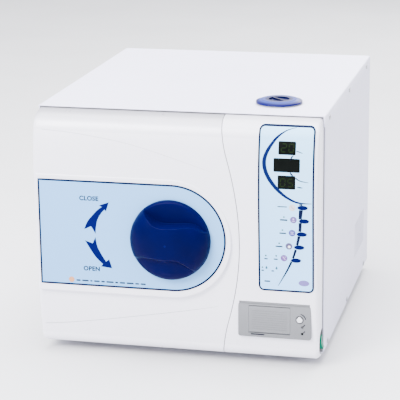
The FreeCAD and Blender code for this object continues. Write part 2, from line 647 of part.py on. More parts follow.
def build_vessel():
    r_out = CHAMBER_R + CHAMBER_WALL
    wall = tube_y(AX_X, AX_Z, 17.7, CHAMBER_END, r_out, CHAMBER_R)
    # dished end, a shallow dome of even thickness
    dish = 24.0

    def dome(r, y_edge, depth):
        a = V(0, y_edge, 0)
        b = V(r, y_edge, 0)
        c = V(0, y_edge + depth, 0)
        sphere_r = (r * r + depth * depth) / (2 * depth)
        half = math.asin(r / sphere_r) / 2
        m = V(sphere_r * math.sin(half), y_edge + depth - sphere_r * (1 - math.cos(half)), 0)
        face = Part.Face(Part.Wire([line(a, b), arc(b, m, c), line(c, a)]))
        solid = face.revolve(V(0, 0, 0), V(0, 1, 0), 360)
        solid.translate(V(AX_X, 0, AX_Z))
        return solid

    end = dome(r_out, CHAMBER_END, dish + CHAMBER_WALL).cut(dome(CHAMBER_R, CHAMBER_END, dish))
    steam_in = tube_y(AX_X, AX_Z + 45, CHAMBER_END + 10, CHAMBER_END + 34, 7.0, 4.0)
    drain = tube_y(AX_X, AX_Z - 45, CHAMBER_END + 10, CHAMBER_END + 34, 7.0, 4.0)
    ports = fuse([steam_in]).cut(dome(CHAMBER_R, CHAMBER_END, dish))
    lower = drain.cut(dome(CHAMBER_R, CHAMBER_END, dish))
    vessel = fuse([wall, end, ports, lower])
    for z in (45, -45):
        vessel = vessel.cut(cyl_y(AX_X, AX_Z + z, CHAMBER_END, CHAMBER_END + 40, 4.0))
    return vessel


def build_heaters():
    out = []
    r = CHAMBER_R + CHAMBER_WALL
    for y0 in (60.0, 210.0):
        band = tube_y(AX_X, AX_Z, y0, y0 + 100, r + 2.2, r)
        band = band.cut(box(AX_X - 6, AX_X + 6, y0 - 1, y0 + 101, AX_Z - 110, AX_Z))
        lug = box(AX_X - 9, AX_X - 6, y0 + 30, y0 + 70, AX_Z - r - 3.5, AX_Z - r + 0.6)
        lug2 = box(AX_X + 6, AX_X + 9, y0 + 30, y0 + 70, AX_Z - r - 3.5, AX_Z - r + 0.6)
        trim = cyl_y(AX_X, AX_Z, y0 - 1, y0 + 101, r)
        out.append(fuse([band, lug, lug2]).cut(trim))
    return Part.makeCompound(out)


def build_jacket():
    jacket = tube_y(AX_X, AX_Z, 20.0, CHAMBER_END + 30, 118.0, 98.5)
    back = cyl_y(AX_X, AX_Z, CHAMBER_END + 30, CHAMBER_END + 38, 118.0)
    for z in (45, -45):
        back = back.cut(cyl_y(AX_X, AX_Z + z, 300, 500, 8.0))
    return fuse([jacket, back])


def build_cradles():
    out = []
    for y in (90.0, 300.0):
        web = box(AX_X - 100, AX_X + 100, y, y + 3, FOOT_H + 2, 140)
        web = web.cut(cyl_y(AX_X, AX_Z, y - 1, y + 5, 118.2))
        foot = box(AX_X - 100, AX_X + 100, y, y + 24, FOOT_H + 2, FOOT_H + 4)
        out.append(fuse([web, foot]))
    return Part.makeCompound(out)


def build_rack():
    parts = []
    for side in (-1, 1):
        x = AX_X + side * (TRAY_HALF + 3.0)
        for y in (40.0, 190.0, 335.0):
            parts.append(box(x - 0.75, x + 0.75, y, y + 12, AX_Z - 55, AX_Z + 56))
        for z in TRAY_Z:
            shelf = box(min(x, x - side * 8), max(x, x - side * 8), 40, 347,
                        AX_Z + z - 9.6, AX_Z + z - 8.4)
            parts.append(shelf)
    for y in (40.0, 335.0):
        parts.append(box(AX_X - TRAY_HALF - 3, AX_X + TRAY_HALF + 3, y, y + 12,
                         AX_Z - 57.0, AX_Z - 55.0))
        for s in (-1, 1):
            x = AX_X + s * 52.0
            parts.append(box(x - 4, x + 4, y, y + 12, AX_Z - 72.8, AX_Z - 56.0))
    parts.append(box(AX_X - TRAY_HALF - 3, AX_X + TRAY_HALF + 3, 335, 347,
                     AX_Z + 54.6, AX_Z + 56.0))
    return fuse(parts)


def build_trays():
    out = []
    for z in TRAY_Z:
        tray = rounded_plan(AX_X - TRAY_HALF, AX_X + TRAY_HALF, 42, 345, 3,
                            AX_Z + z - 8.2, AX_Z + z + 5.8)
        hollow = rounded_plan(AX_X - TRAY_HALF + 1, AX_X + TRAY_HALF - 1, 43, 344, 2,
                              AX_Z + z - 7.2, AX_Z + z + 10)
        tray = tray.cut(hollow)
        for x in (-34, 0, 34):
            tray = tray.cut(box(AX_X + x - 4, AX_X + x + 4, 80, 307, AX_Z + z - 10, AX_Z + z - 5))
        out.append(tray)
    return Part.makeCompound(out)


# ---- water, steam and vacuum ------------------------------------------------------------------


def build_tank():
    x0, x1, y0, y1, z0, z1 = TANK
    tank = rounded_plan(x0, x1, y0, y1, 5, z0, z1)
    hollow = rounded_plan(x0 + 3, x1 - 3, y0 + 3, y1 - 3, 1, z0 + 3, z1 - 3)
    neck = cyl_z(CAP_X, CAP_Y, z1 - 1, TOP_Z + 1.4, 25.0)
    rim = cyl_z(CAP_X, CAP_Y, TOP_Z, TOP_Z + 1.4, 33.0)
    tank = fuse([tank.cut(hollow), neck, rim])
    return tank.cut(cyl_z(CAP_X, CAP_Y, z1 - 6, TOP_Z + 5, 22.0))


def build_cap_plug():
    disc = cyl_z(CAP_X, CAP_Y, TOP_Z + 1.8, CAP_Z - FREE, 21.0)
    skirt = cyl_z(CAP_X, CAP_Y, TOP_Z - 14, CAP_Z - FREE, 20.0)
    skirt = skirt.cut(cyl_z(CAP_X, CAP_Y, TOP_Z - 15, TOP_Z - 2, 17.5))
    plug = fuse([disc, skirt])
    plug = plug.cut(cyl_z(CAP_X, CAP_Y, TOP_Z - 9.0, TOP_Z - 6.0, 24.0).cut(
        cyl_z(CAP_X, CAP_Y, TOP_Z - 9.0, TOP_Z - 6.0, 18.8)))
    return fuse([plug, cyl_z(CAP_X, CAP_Y, CAP_Z - 1, CAP_Z + 2.0, 4.0)])


def build_cap_gasket():
    return cyl_z(CAP_X, CAP_Y, TOP_Z - 9.0, TOP_Z - 6.0, 21.4).cut(
        cyl_z(CAP_X, CAP_Y, TOP_Z - 10, TOP_Z - 5, 18.8))


def build_cap():
    skirt = cyl_z(CAP_X, CAP_Y, TOP_Z + 1.9, TOP_Z + 4.6, CAP_R)
    crown = Part.makeCone(CAP_R, 27.5, 2.8, V(CAP_X, CAP_Y, TOP_Z + 4.6), V(0, 0, 1))
    cap = fuse([skirt, crown])
    rim = [e for e in cap.Edges if e.Length > 200 and e.BoundBox.ZMin > TOP_Z + 4.5
           and e.BoundBox.ZMax < TOP_Z + 4.7]
    cap = cap.makeFillet(1.0, rim)
    cap = cap.cut(cyl_z(CAP_X, CAP_Y, TOP_Z, CAP_Z, 33.8).cut(
        cyl_z(CAP_X, CAP_Y, TOP_Z - 1, CAP_Z + 1, 60.0)))
    cap = cap.cut(cyl_z(CAP_X, CAP_Y, TOP_Z, CAP_Z, 21.5))
    cap = cap.cut(cyl_z(CAP_X, CAP_Y, CAP_Z - 1, CAP_Z + 2.4, 4.06))
    dish = cyl_z(CAP_X, CAP_Y, TOP_Z + 5.2, TOP_Z + 9, 16.0)
    bar = box(-17, 17, -1.8, 1.8, TOP_Z + 4, TOP_Z + 9)
    bar.rotate(V(0, 0, 0), V(0, 0, 1), -45)
    bar.translate(V(CAP_X, CAP_Y, 0))
    ring = cyl_z(CAP_X, CAP_Y, TOP_Z + 7.0, TOP_Z + 9, 27.5).cut(
        cyl_z(CAP_X, CAP_Y, TOP_Z + 6.0, TOP_Z + 9, 26.0))
    return cut(cap, [dish.cut(bar), ring])


def build_condenser():
    x0, x1, y0, y1 = FAN_X - 56, FAN_X + 56, 416.0, 446.0
    z0, z1 = FAN_Z - 56, FAN_Z + 56
    parts = [box(x0, x0 + 6, y0, y1, z0, z1), box(x1 - 6, x1, y0, y1, z0, z1)]
    for i in range(9):
        z = z0 + 4 + 13.0 * i
        parts.append(box(x0, x1, y0 + 4, y1 - 4, z, z + 3))
    for i in range(7):
        x = x0 + 18 + 13.0 * i
        parts.append(box(x, x + 1.2, y0 + 1, y1 - 1, z0 + 4, z1 - 4))
    return fuse(parts)


def build_fan_frame():
    y0, y1 = 450.0, 482.0
    frame = rounded_prism(FAN_X - 60, FAN_X + 60, FAN_Z - 60, FAN_Z + 60, 8, y0, y1)
    frame = frame.cut(cyl_y(FAN_X, FAN_Z, y0 - 1, y1 + 1, 56.0))
    spider = [cyl_y(FAN_X, FAN_Z, y1 - 5, y1, 19.0)]
    for a in (45, 135, 225, 315):
        arm = box(FAN_X, FAN_X + 58, y1 - 4, y1, FAN_Z - 2.5, FAN_Z + 2.5)
        arm.rotate(V(FAN_X, 0, FAN_Z), V(0, 1, 0), a)
        spider.append(arm)
    shaft = cyl_y(FAN_X, FAN_Z, y1 - 20, y1, 2.5)
    return fuse([frame] + spider + [shaft])


def build_fan_rotor():
    y0, y1 = 453.0, 476.0
    parts = [cyl_y(FAN_X, FAN_Z, y0, y1, 19.0)]
    for i in range(7):
        blade = box(14, 53.5, -0.9, 0.9, -10, 10)
        blade.rotate(V(0, 0, 0), V(1, 0, 0), 50)
        blade.rotate(V(0, 0, 0), V(0, 1, 0), i * 360.0 / 7)
        blade.translate(V(FAN_X, (y0 + y1) / 2, FAN_Z))
        parts.append(blade)
    rotor = fuse(parts)
    return rotor.cut(cyl_y(FAN_X, FAN_Z, y0 + 2, y1 + 1, 2.56))


def build_vacuum_pump():
    body = box(132, 206, 330, 440, 52, 112)
    upright = [e for e in body.Edges if abs(e.tangentAt(e.FirstParameter).z) > 0.99]
    body = body.makeFillet(8, upright)
    motor = cyl_y(169, 82, 250, 332, 26.0)
    head = cyl_z(169, 360, 111, 128, 24.0)
    feet = [box(136, 202, 336, 350, FOOT_H + 2, 53), box(136, 202, 420, 434, FOOT_H + 2, 53)]
    return fuse([body, motor, head] + feet)


def build_valves():
    out = []
    for i in range(4):
        x = -200.0 + 36.0 * i
        body = box(x, x + 24, 408, 432, 40, 62)
        coil = rounded_plan(x + 1, x + 23, 405, 434, 4, 62, 92)
        foot = box(x + 4, x + 20, 410, 430, FOOT_H + 2, 41)
        spade = box(x + 8, x + 16, 400, 406, 72, 73)
        out.append(fuse([body, coil, foot, spade]))
    return Part.makeCompound(out)


def bent_tube(points, r):
    """Round tube with ball elbows."""
    parts = []
    for a, b in zip(points, points[1:]):
        parts.append(Part.makeCylinder(r, (b - a).Length, a, b - a))
    for p in points[1:-1]:
        parts.append(Part.makeSphere(r + 0.6, p, V(0.3, 0.5, 0.8)))
    return fuse(parts)


def build_pipes():
    up = AX_Z + 45
    low = AX_Z - 45
    end = CHAMBER_END + 34.0
    steam = bent_tube([V(AX_X, end, up), V(AX_X, end + 12, up), V(AX_X, end + 12, VALVE_Z),
                       V(VALVE_X, end + 12, VALVE_Z), V(VALVE_X, CASE_D - 18.2, VALVE_Z)], 4.0)
    x_top = FAN_X + 50.0
    low_y = end + 14
    drain = bent_tube([V(AX_X, end, low), V(AX_X, low_y, low), V(x_top, low_y, low),
                       V(x_top, low_y, FAN_Z - 68.0), V(x_top, 431, FAN_Z - 68.0),
                       V(x_top, 431, FAN_Z - 56.0)], 4.0)
    feed = bent_tube([V(-188, 420, 92), V(-188, 420, 180), V(-171, 420, 180),
                      V(-171, 431, 180), V(-171, 431, FAN_Z - 56.0)], 3.0)
    barb = []
    for x in DRAIN_X:
        barb.append(cyl_y(x, DRAIN_Z, 432, 462, 3.5))
    water = bent_tube([V(110, 322, 272), V(110, 322, 262), V(160, 322, 262),
                       V(160, 362, 262), V(160, 362, 128)], 4.0)
    return Part.makeCompound([steam, drain, feed, water] + barb)


def build_safety_valve():
    body = cyl_y(VALVE_X, VALVE_Z, CASE_D - 18, CASE_D + 6, 10.0)
    nut = Part.makeCylinder(14.0, 4.0, V(VALVE_X, CASE_D - 1.4, VALVE_Z), V(0, 1, 0))
    hexagon = box(VALVE_X - 11.5, VALVE_X + 11.5, CASE_D - 3, CASE_D + 5,
                  VALVE_Z - 14, VALVE_Z + 14)
    nut = nut.common(hexagon)
    back = Part.makeCylinder(14.0, 3.0, V(VALVE_X, CASE_D - 6.0, VALVE_Z), V(0, 1, 0))
    stem_hole = cyl_y(VALVE_X, VALVE_Z, CASE_D - 8, CASE_D + 8, 2.3)
    return fuse([body, nut, back]).cut(stem_hole)


def build_pull_ring():
    stem = cyl_y(VALVE_X, VALVE_Z, CASE_D - 7, CASE_D + 8, 2.0)
    head = cyl_y(VALVE_X, VALVE_Z, CASE_D + 6.5, CASE_D + 9.5, 5.0)
    ring = Part.makeTorus(8.0, 1.2, V(VALVE_X, CASE_D + 8.2, VALVE_Z - 8.0), V(0, 1, 0))
    return fuse([stem, head, ring])


def build_inlet():
    x0, x1 = INLET_X - 24.0, INLET_X + 24.0
    body = box(x0, x1, CASE_D - 34, CASE_D + 2.6, INLET_Z - 14, INLET_Z + 14)
    flange = rounded_prism(x0 - 9, x1 + 9, INLET_Z - 17, INLET_Z + 17, 4,
                           CASE_D - 1.5, CASE_D + 1.0)
    inlet = fuse([body, flange])
    socket = rounded_prism(INLET_X - 20, INLET_X + 8, INLET_Z - 10, INLET_Z + 10, 3,
                           CASE_D - 17, CASE_D + 5)
    inlet = inlet.cut(socket)
    for dx, dz in ((-13.0, 0.0), (1.0, 0.0), (-6.0, 5.0)):
        inlet = inlet.fuse(box(INLET_X + dx - 1, INLET_X + dx + 1, CASE_D - 18, CASE_D - 3,
                               INLET_Z + dz - 2, INLET_Z + dz + 2))
    inlet = inlet.cut(box(INLET_X + 11.5, INLET_X + 21.5, CASE_D - 26, CASE_D + 5,
                          INLET_Z - 11, INLET_Z + 11))
    return inlet.removeSplitter()


def build_fuse_drawer():
    drawer = box(INLET_X + 12.0, INLET_X + 21.0, CASE_D - 25, CASE_D + 3.2,
                 INLET_Z - 10.5, INLET_Z + 10.5)
    drawer = drawer.cut(box(INLET_X + 13.2, INLET_X + 19.8, CASE_D - 22, CASE_D - 1,
                            INLET_Z - 8.5, INLET_Z + 20))
    return drawer.cut(box(INLET_X + 13, INLET_X + 20, CASE_D + 2.4, CASE_D + 4,
                          INLET_Z + 5, INLET_Z + 7.5))


def build_drains():
    out = []
    for x in DRAIN_X:
        body = cyl_y(x, DRAIN_Z, CASE_D - 28, CASE_D - 6, 8.0)
        neck = cyl_y(x, DRAIN_Z, CASE_D - 8, CASE_D + 6, 8.0)
        plate = cyl_y(x, DRAIN_Z, CASE_D - 1.5, CASE_D + 0.5, 12.0)
        barb = [cyl_y(x, DRAIN_Z, CASE_D + 5, REAR_END, 4.5)]
        for i in range(3):
            y = CASE_D + 7.0 + 3.0 * i
            barb.append(Part.makeCone(6.0, 4.5, 3.0, V(x, y, DRAIN_Z), V(0, 1, 0)))
        bonnet = cyl_z(x, CASE_D + 3.0, DRAIN_Z + 4, DRAIN_Z + 12, 3.0)
        pieces = fuse([body, neck, plate, bonnet] + barb)
        pieces = pieces.cut(cyl_y(x, DRAIN_Z, CASE_D - 30, REAR_END + 1, 3.0))
        pieces = pieces.cut(cyl_z(x, CASE_D + 3.0, DRAIN_Z + 5, DRAIN_Z + 13, 1.56))
        out.append(pieces)
    return Part.makeCompound(out)


def build_tap(x):
    y = CASE_D + 3.0
    stem = cyl_z(x, y, DRAIN_Z + 6, DRAIN_Z + 15, 1.5)
    hub = cyl_z(x, y, DRAIN_Z + 12.4, DRAIN_Z + 17, 4.0)
    lever = rounded_plan(x - 3, x + 24, y - 3, y + 3, 2.8, DRAIN_Z + 14, DRAIN_Z + 17)
    return fuse([stem, hub, lever])


# ---- door ----------------------------------------------------------------------------------------
def build_hinge_brackets():
    out = []
    for z in HINGE_Z:
        base = box(PIN_X + 5, PIN_X + 36, -1.4, 0.5, z - 16, z + 16)
        bits = [base]
        for z0 in (z - 11.4, z + 6.4):
            lug = box(PIN_X - 7, PIN_X + 7, PIN_Y, 0.5, z0, z0 + 5)
            lug = lug.fuse(cyl_z(PIN_X, PIN_Y, z0, z0 + 5, 7.0))
            foot = box(PIN_X, PIN_X + 10, -1.4, 0.5, z0, z0 + 5)
            bits.append(lug.cut(cyl_z(PIN_X, PIN_Y, z0 - 1, z0 + 6, PIN_R)).fuse(foot))
        out.append(fuse(bits))
    return Part.makeCompound(out)


def build_hinge_pins():
    out = []
    for z in HINGE_Z:
        pin = cyl_z(PIN_X, PIN_Y, z - 11.4, z + 12.6, PIN_R)
        head = cyl_z(PIN_X, PIN_Y, z + 11.4, z + 12.9, 4.6)
        out.append(fuse([pin, head]))
    return Part.makeCompound(out)


def build_door_arm():
    y0, y1 = ARM_Y
    hub = cyl_y(AX_X, AX_Z, y0, y1, 56.0)
    arm = box(-196, AX_X, y0, y1, AX_Z - 45, AX_Z + 45)
    strap = box(PIN_X + 9, -178, y0, y1, HINGE_Z[0] - 20, HINGE_Z[1] + 20)
    bits = [hub, arm, strap]
    for z in HINGE_Z:
        knuckle = cyl_z(PIN_X, PIN_Y, z - 6, z + 6, 7.0)
        link = box(PIN_X, PIN_X + 14, -21, -15, z - 6, z + 6)
        bits += [knuckle, link]
    boss = cyl_y(AX_X, AX_Z, -34, y0 + 1, 16.0)
    bits.append(boss)
    for a in BOLT_ANGLES:
        guide = box(AX_X + 50, AX_X + 72, y0, -6.9, AX_Z - 13, AX_Z + 13)
        window = box(AX_X + 40, AX_X + 80, -12.3 - FREE, -7.3 + FREE + 0.1, AX_Z - 7.4, AX_Z + 7.4)
        floor = box(AX_X + 49, AX_X + 73, -7.3 + FREE, 0, AX_Z - 20, AX_Z + 20)
        guide = guide.cut(window).cut(floor)
        bits.append(polar(guide, a))
    body = fuse(bits)
    body = body.cut(cyl_y(AX_X, AX_Z, -40, 0, SPINDLE_R + FREE))
    for z in HINGE_Z:
        body = body.cut(cyl_z(PIN_X, PIN_Y, z - 8, z + 8, PIN_R + 0.06))
    for dx in (-95, -140):
        body = body.cut(cyl_y(AX_X + dx, AX_Z, y0 - 1, y1 + 1, 17.0))
    return body


def build_spindle():
    shaft = cyl_y(AX_X, AX_Z, -78, -1.2, SPINDLE_R)
    flats = box(AX_X - 20, AX_X + 20, -79, -36, AX_Z + 6.4, AX_Z + 20)
    shaft = shaft.cut(flats)
    disc = cyl_y(AX_X, AX_Z, -16.1, -13.1, 44.0)
    for a in BOLT_ANGLES:
        inner = []
        outer = []
        for i in range(12):
            ahead = -9.0 + 108.0 * i / 11
            turn = math.radians(a + ahead)
            r = BOLT_PIN_R0 + BOLT_TRAVEL * ahead / 90.0
            for rad, store in ((r - 2.9, inner), (r + 2.9, outer)):
                store.append(V(AX_X + rad * math.cos(turn), -20, AX_Z + rad * math.sin(turn)))
        c1 = Part.BSplineCurve()
        c1.interpolate(outer)
        c2 = Part.BSplineCurve()
        c2.interpolate(inner)
        edges = [c1.toShape(), line(outer[-1], inner[-1]), c2.toShape(), line(inner[0], outer[0])]
        disc = disc.cut(prism(edges, V(0, 12, 0)))
    return fuse([shaft, disc])


def build_bolt(angle):
    bar = box(AX_X + BOLT_IN, AX_X + BOLT_TIP, -12.3, -7.3, AX_Z - 7, AX_Z + 7)
    tip = [e for e in bar.Edges if e.BoundBox.XMin > AX_X + BOLT_TIP - 0.1
           and e.BoundBox.ZLength < 0.1]
    bar = bar.makeFillet(2.0, tip)
    pin = cyl_y(AX_X + BOLT_PIN_R0, AX_Z, -15.9, -12.0, 2.5)
    return polar(fuse([bar, pin]), angle)


def build_strikers():
    out = []
    for a in BOLT_ANGLES:
        block = box(AX_X + 102.6, AX_X + 119, -15.6, 0.5, AX_Z - 12, AX_Z + 12)
        upright = [e for e in block.Edges if abs(e.tangentAt(e.FirstParameter).y) > 0.99]
        block = block.makeFillet(2.0, upright)
        pocket = box(AX_X + 100, AX_X + 114.5, -12.8, -6.8, AX_Z - 7.6, AX_Z + 7.6)
        out.append(polar(block.cut(pocket), a))
    return Part.makeCompound(out)


def build_door_plate():
    disc = cyl_y(AX_X, AX_Z, -5.6, 1.5, PLATE_R)
    groove = tube_y(AX_X, AX_Z, -1.5, 2.0, GASKET_OUT, GASKET_IN)
    dish = cyl_y(AX_X, AX_Z, -0.6, 2.0, 84.0)
    hub = cyl_y(AX_X, AX_Z, -9.6, -5, 14.0)
    plate = fuse([disc, hub]).cut(groove).cut(dish)
    return plate.cut(cyl_y(AX_X, AX_Z, -10, -0.8, SPINDLE_R + FREE))


def build_gasket():
    return tube_y(AX_X, AX_Z, -1.5, 2.2, GASKET_OUT, GASKET_IN)


def build_door_label():
    label = stadium(-215.0, LABEL_AT[0], LABEL_AT[1], LABEL_R, PLATEAU_Y - 0.5, PLATEAU_Y)
    return label.cut(cyl_y(AX_X, AX_Z, -60, -40, 15.0))


def spun(points):
    """Solid of revolution about the knob axis from (radius, y) points; three-point items are arcs."""
    edges = []
    start = V(*points[0], 0)
    for item in points[1:] + [points[0]]:
        if len(item) == 2:
            end = V(*item, 0)
            edges.append(line(start, end))
        else:
            end = V(item[2], item[3], 0)
            edges.append(arc(start, V(item[0], item[1], 0), end))
        start = end
    return Part.Face(Part.Wire(edges)).revolve(V(0, 0, 0), V(0, 1, 0), 360)


def build_knob():
    base = cyl_y(0, 0, -58.0, KNOB_BACK, KNOB_R)
    base = base.makeFillet(4.5, [e for e in base.Edges if e.BoundBox.YMax < -57.9])
    # scooped face either side of the grip
    base = base.cut(spun([(0, -60), (0, -51.5), (44, -51.5), (52.6, -53.3, 57.6, -58.0), (57.6, -60)]))
    # shallow dome that limits the grip
    dome = spun([(0, -50), (0, KNOB_FRONT), (26.0, -82.4, 47.0, -77.5), (57.0, -71.5, 61.0, -61.0),
                 (61.0, -50)])
    # grip between two wavy edges, given from left to right
    upper_line = [(-47, 60), (-40, 48.5), (-35, 42), (-21, 33), (-11, 28.8), (2, 27.6), (16, 28),
                  (30, 29.6), (42, 30.8), (52, 29), (60, 25.2), (72, 19)]
    lower_line = [(-72, -12), (-60, -14), (-47, -17.5), (-35, -19.2), (-10, -21.2), (9, -22.5),
                  (24, -26.6), (34, -31), (42.4, -36), (50, -42), (58, -50)]
    upper = Part.BSplineCurve()
    upper.interpolate([V(x, 0, z) for x, z in upper_line])
    lower = Part.BSplineCurve()
    lower.interpolate([V(x, 0, z) for x, z in lower_line])
    ends = [V(x, 0, z) for x, z in (upper_line[0], upper_line[-1], lower_line[0], lower_line[-1])]
    edges = [upper.toShape(), line(ends[1], ends[3]), lower.toShape(), line(ends[2], ends[0])]
    grip = prism(edges, V(0, -50, 0))
    grip.translate(V(0, -45, 0))
    knob = fuse([base, dome.common(grip)])
    knob.translate(V(AX_X, 0, AX_Z))
    bore = cyl_y(AX_X, AX_Z, -78.2, -40, SPINDLE_R).cut(
        box(AX_X - 20, AX_X + 20, -80, -30, AX_Z + 6.4, AX_Z + 20))
    return knob.cut(bore)


# ---- the assembly -----------------------------------------------------------------------------
keep("base_tray", build_base_tray())
keep("casing_shell", build_casing())
keep("rear_panel", build_rear_panel())
keep("front_frame", build_front_frame())
keep("feet", build_feet())
keep("casing_screws", build_screws())
keep("right_fascia", build_right_fascia())
keep("control_label", build_control_label())
keep("display_windows", build_displays())
keep("control_board", build_control_board())
for number, (kx, kz) in enumerate(KEYS, 1):
    keep("key_%d" % number, build_key(kx, kz))
keep("printer_housing", build_printer_housing())
keep("printer_door", build_printer_door())
keep("platen_roller", build_platen())
keep("paper_roll", build_paper_roll())
keep("release_button", build_release_button())
keep("feed_button", build_feed_button())
keep("printer_lamp", build_printer_lamp())
keep("switch_housing", build_switch_housing())
keep("power_rocker", build_rocker())
keep("chamber_flange", build_flange())
keep("chamber_vessel", build_vessel())
keep("heater_bands", build_heaters())
keep("insulation_jacket", build_jacket())
keep("chamber_cradles", build_cradles())
keep("tray_rack", build_rack())
keep("trays", build_trays())
keep("water_tank", build_tank())
keep("cap_plug", build_cap_plug())
keep("cap_gasket", build_cap_gasket())
keep("tank_cap", build_cap())
keep("condenser_core", build_condenser())
keep("fan_frame", build_fan_frame())
keep("fan_rotor", build_fan_rotor())
keep("vacuum_pump", build_vacuum_pump())
keep("solenoid_valves", build_valves())
keep("steam_pipes", build_pipes())
keep("safety_valve", build_safety_valve())
keep("pull_ring", build_pull_ring())
keep("power_inlet", build_inlet())
keep("fuse_drawer", build_fuse_drawer())
keep("drain_valves", build_drains())
keep("drain_tap_clean", build_tap(DRAIN_X[1]))
keep("drain_tap_waste", build_tap(DRAIN_X[0]))
keep("hinge_brackets", build_hinge_brackets())
keep("hinge_pins", build_hinge_pins())
keep("lock_strikers", build_strikers())
keep("door_cover", build_door_cover())
keep("door_label", build_door_label())
keep("door_arm", build_door_arm())
keep("knob", build_knob())
keep("spindle", build_spindle())
keep("lock_bolt_upper", build_bolt(BOLT_ANGLES[0]))
keep("lock_bolt_lower", build_bolt(BOLT_ANGLES[1]))
keep("door_plate", build_door_plate())
keep("door_gasket", build_gasket())

os.makedirs("parts", exist_ok=True)
for name, shape in PARTS.items():
    shape.translate(V(0, SHIFT_Y, 0))
    solids = len(shape.Solids)
    box_ = shape.BoundBox
    print("%-18s solids %2d valid %s vol %.1f  x %.1f %.1f  y %.1f %.1f  z %.1f %.1f" % (
        name, solids, shape.isValid(), shape.Volume / 1000.0, box_.XMin, box_.XMax,
        box_.YMin, box_.YMax, box_.ZMin, box_.ZMax))
    shape.exportStep("parts/%s.step" % name)
print(len(PARTS), "nodes")
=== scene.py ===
import json
import math

import bmesh
import bpy
from mathutils import Matrix, Vector
from mathutils.bvhtree import BVHTree


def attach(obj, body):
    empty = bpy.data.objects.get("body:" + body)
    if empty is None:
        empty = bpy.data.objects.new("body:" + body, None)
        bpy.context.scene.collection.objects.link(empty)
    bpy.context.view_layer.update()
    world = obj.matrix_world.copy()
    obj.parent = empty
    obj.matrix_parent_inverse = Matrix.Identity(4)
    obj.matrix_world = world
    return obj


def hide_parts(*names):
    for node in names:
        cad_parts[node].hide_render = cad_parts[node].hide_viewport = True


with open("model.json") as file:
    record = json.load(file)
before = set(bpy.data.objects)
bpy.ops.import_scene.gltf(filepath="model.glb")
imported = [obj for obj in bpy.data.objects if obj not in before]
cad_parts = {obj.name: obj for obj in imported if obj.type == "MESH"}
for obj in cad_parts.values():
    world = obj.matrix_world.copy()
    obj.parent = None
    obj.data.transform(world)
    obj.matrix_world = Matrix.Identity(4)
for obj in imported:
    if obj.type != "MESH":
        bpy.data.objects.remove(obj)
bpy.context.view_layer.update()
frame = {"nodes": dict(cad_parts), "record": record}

NODES = frame["nodes"]
MM = 0.001

# ---- places in the part's frame, millimetres unless a name says otherwise --------------------
FRONT = -211.0                       # casing front plane
CASING_TOP = 393.0
AX_X, AX_Z = -5.0, 201.5             # knob, door and chamber axis
LABEL_X0 = -215.0                    # left edge of the door label
LABEL_R = 84.5                       # its half height, and the radius of its round right end
LABEL_X, LABEL_Z = AX_X + 1.5, AX_Z + 1.8
PANEL = (130.0, 215.0, 127.4, 383.6)   # left, right, foot and top of the control label
BORDER_IN = 1.35                     # edge of a label to the middle of its printed border
BORDER_W = 2.7
KNOB_R = 62.6
KNOB_BACK = FRONT - 47.7
KNOB_FRONT = FRONT - 83.9
CAP_X, CAP_Y, CAP_R = 140.0, FRONT + 72.0, 36.0
BTN_X, BTN_Z = 192.8, 82.8           # paper door button
MARK_X, MARKS_Z = 199.2, (73.4, 62.8)   # marks beside the small button and the lamp
SEAM_X, SEAM_BULGE = 71.5, 100.8     # seam of door and fascia: at its ends, at the knob's height
SEAM_R, SEAM_TURN = 450.0, 128.0     # radius of its bow, half height where it bends back
SEAM_LOW, SEAM_HIGH = 22.0, 374.0
LIP_HALF = 218.0                     # half length of the strip under the casing lip
LIP_LOW, LIP_HIGH = 390.95, 391.95
SINK = 0.00025                       # metres that a printed piece reaches into its face


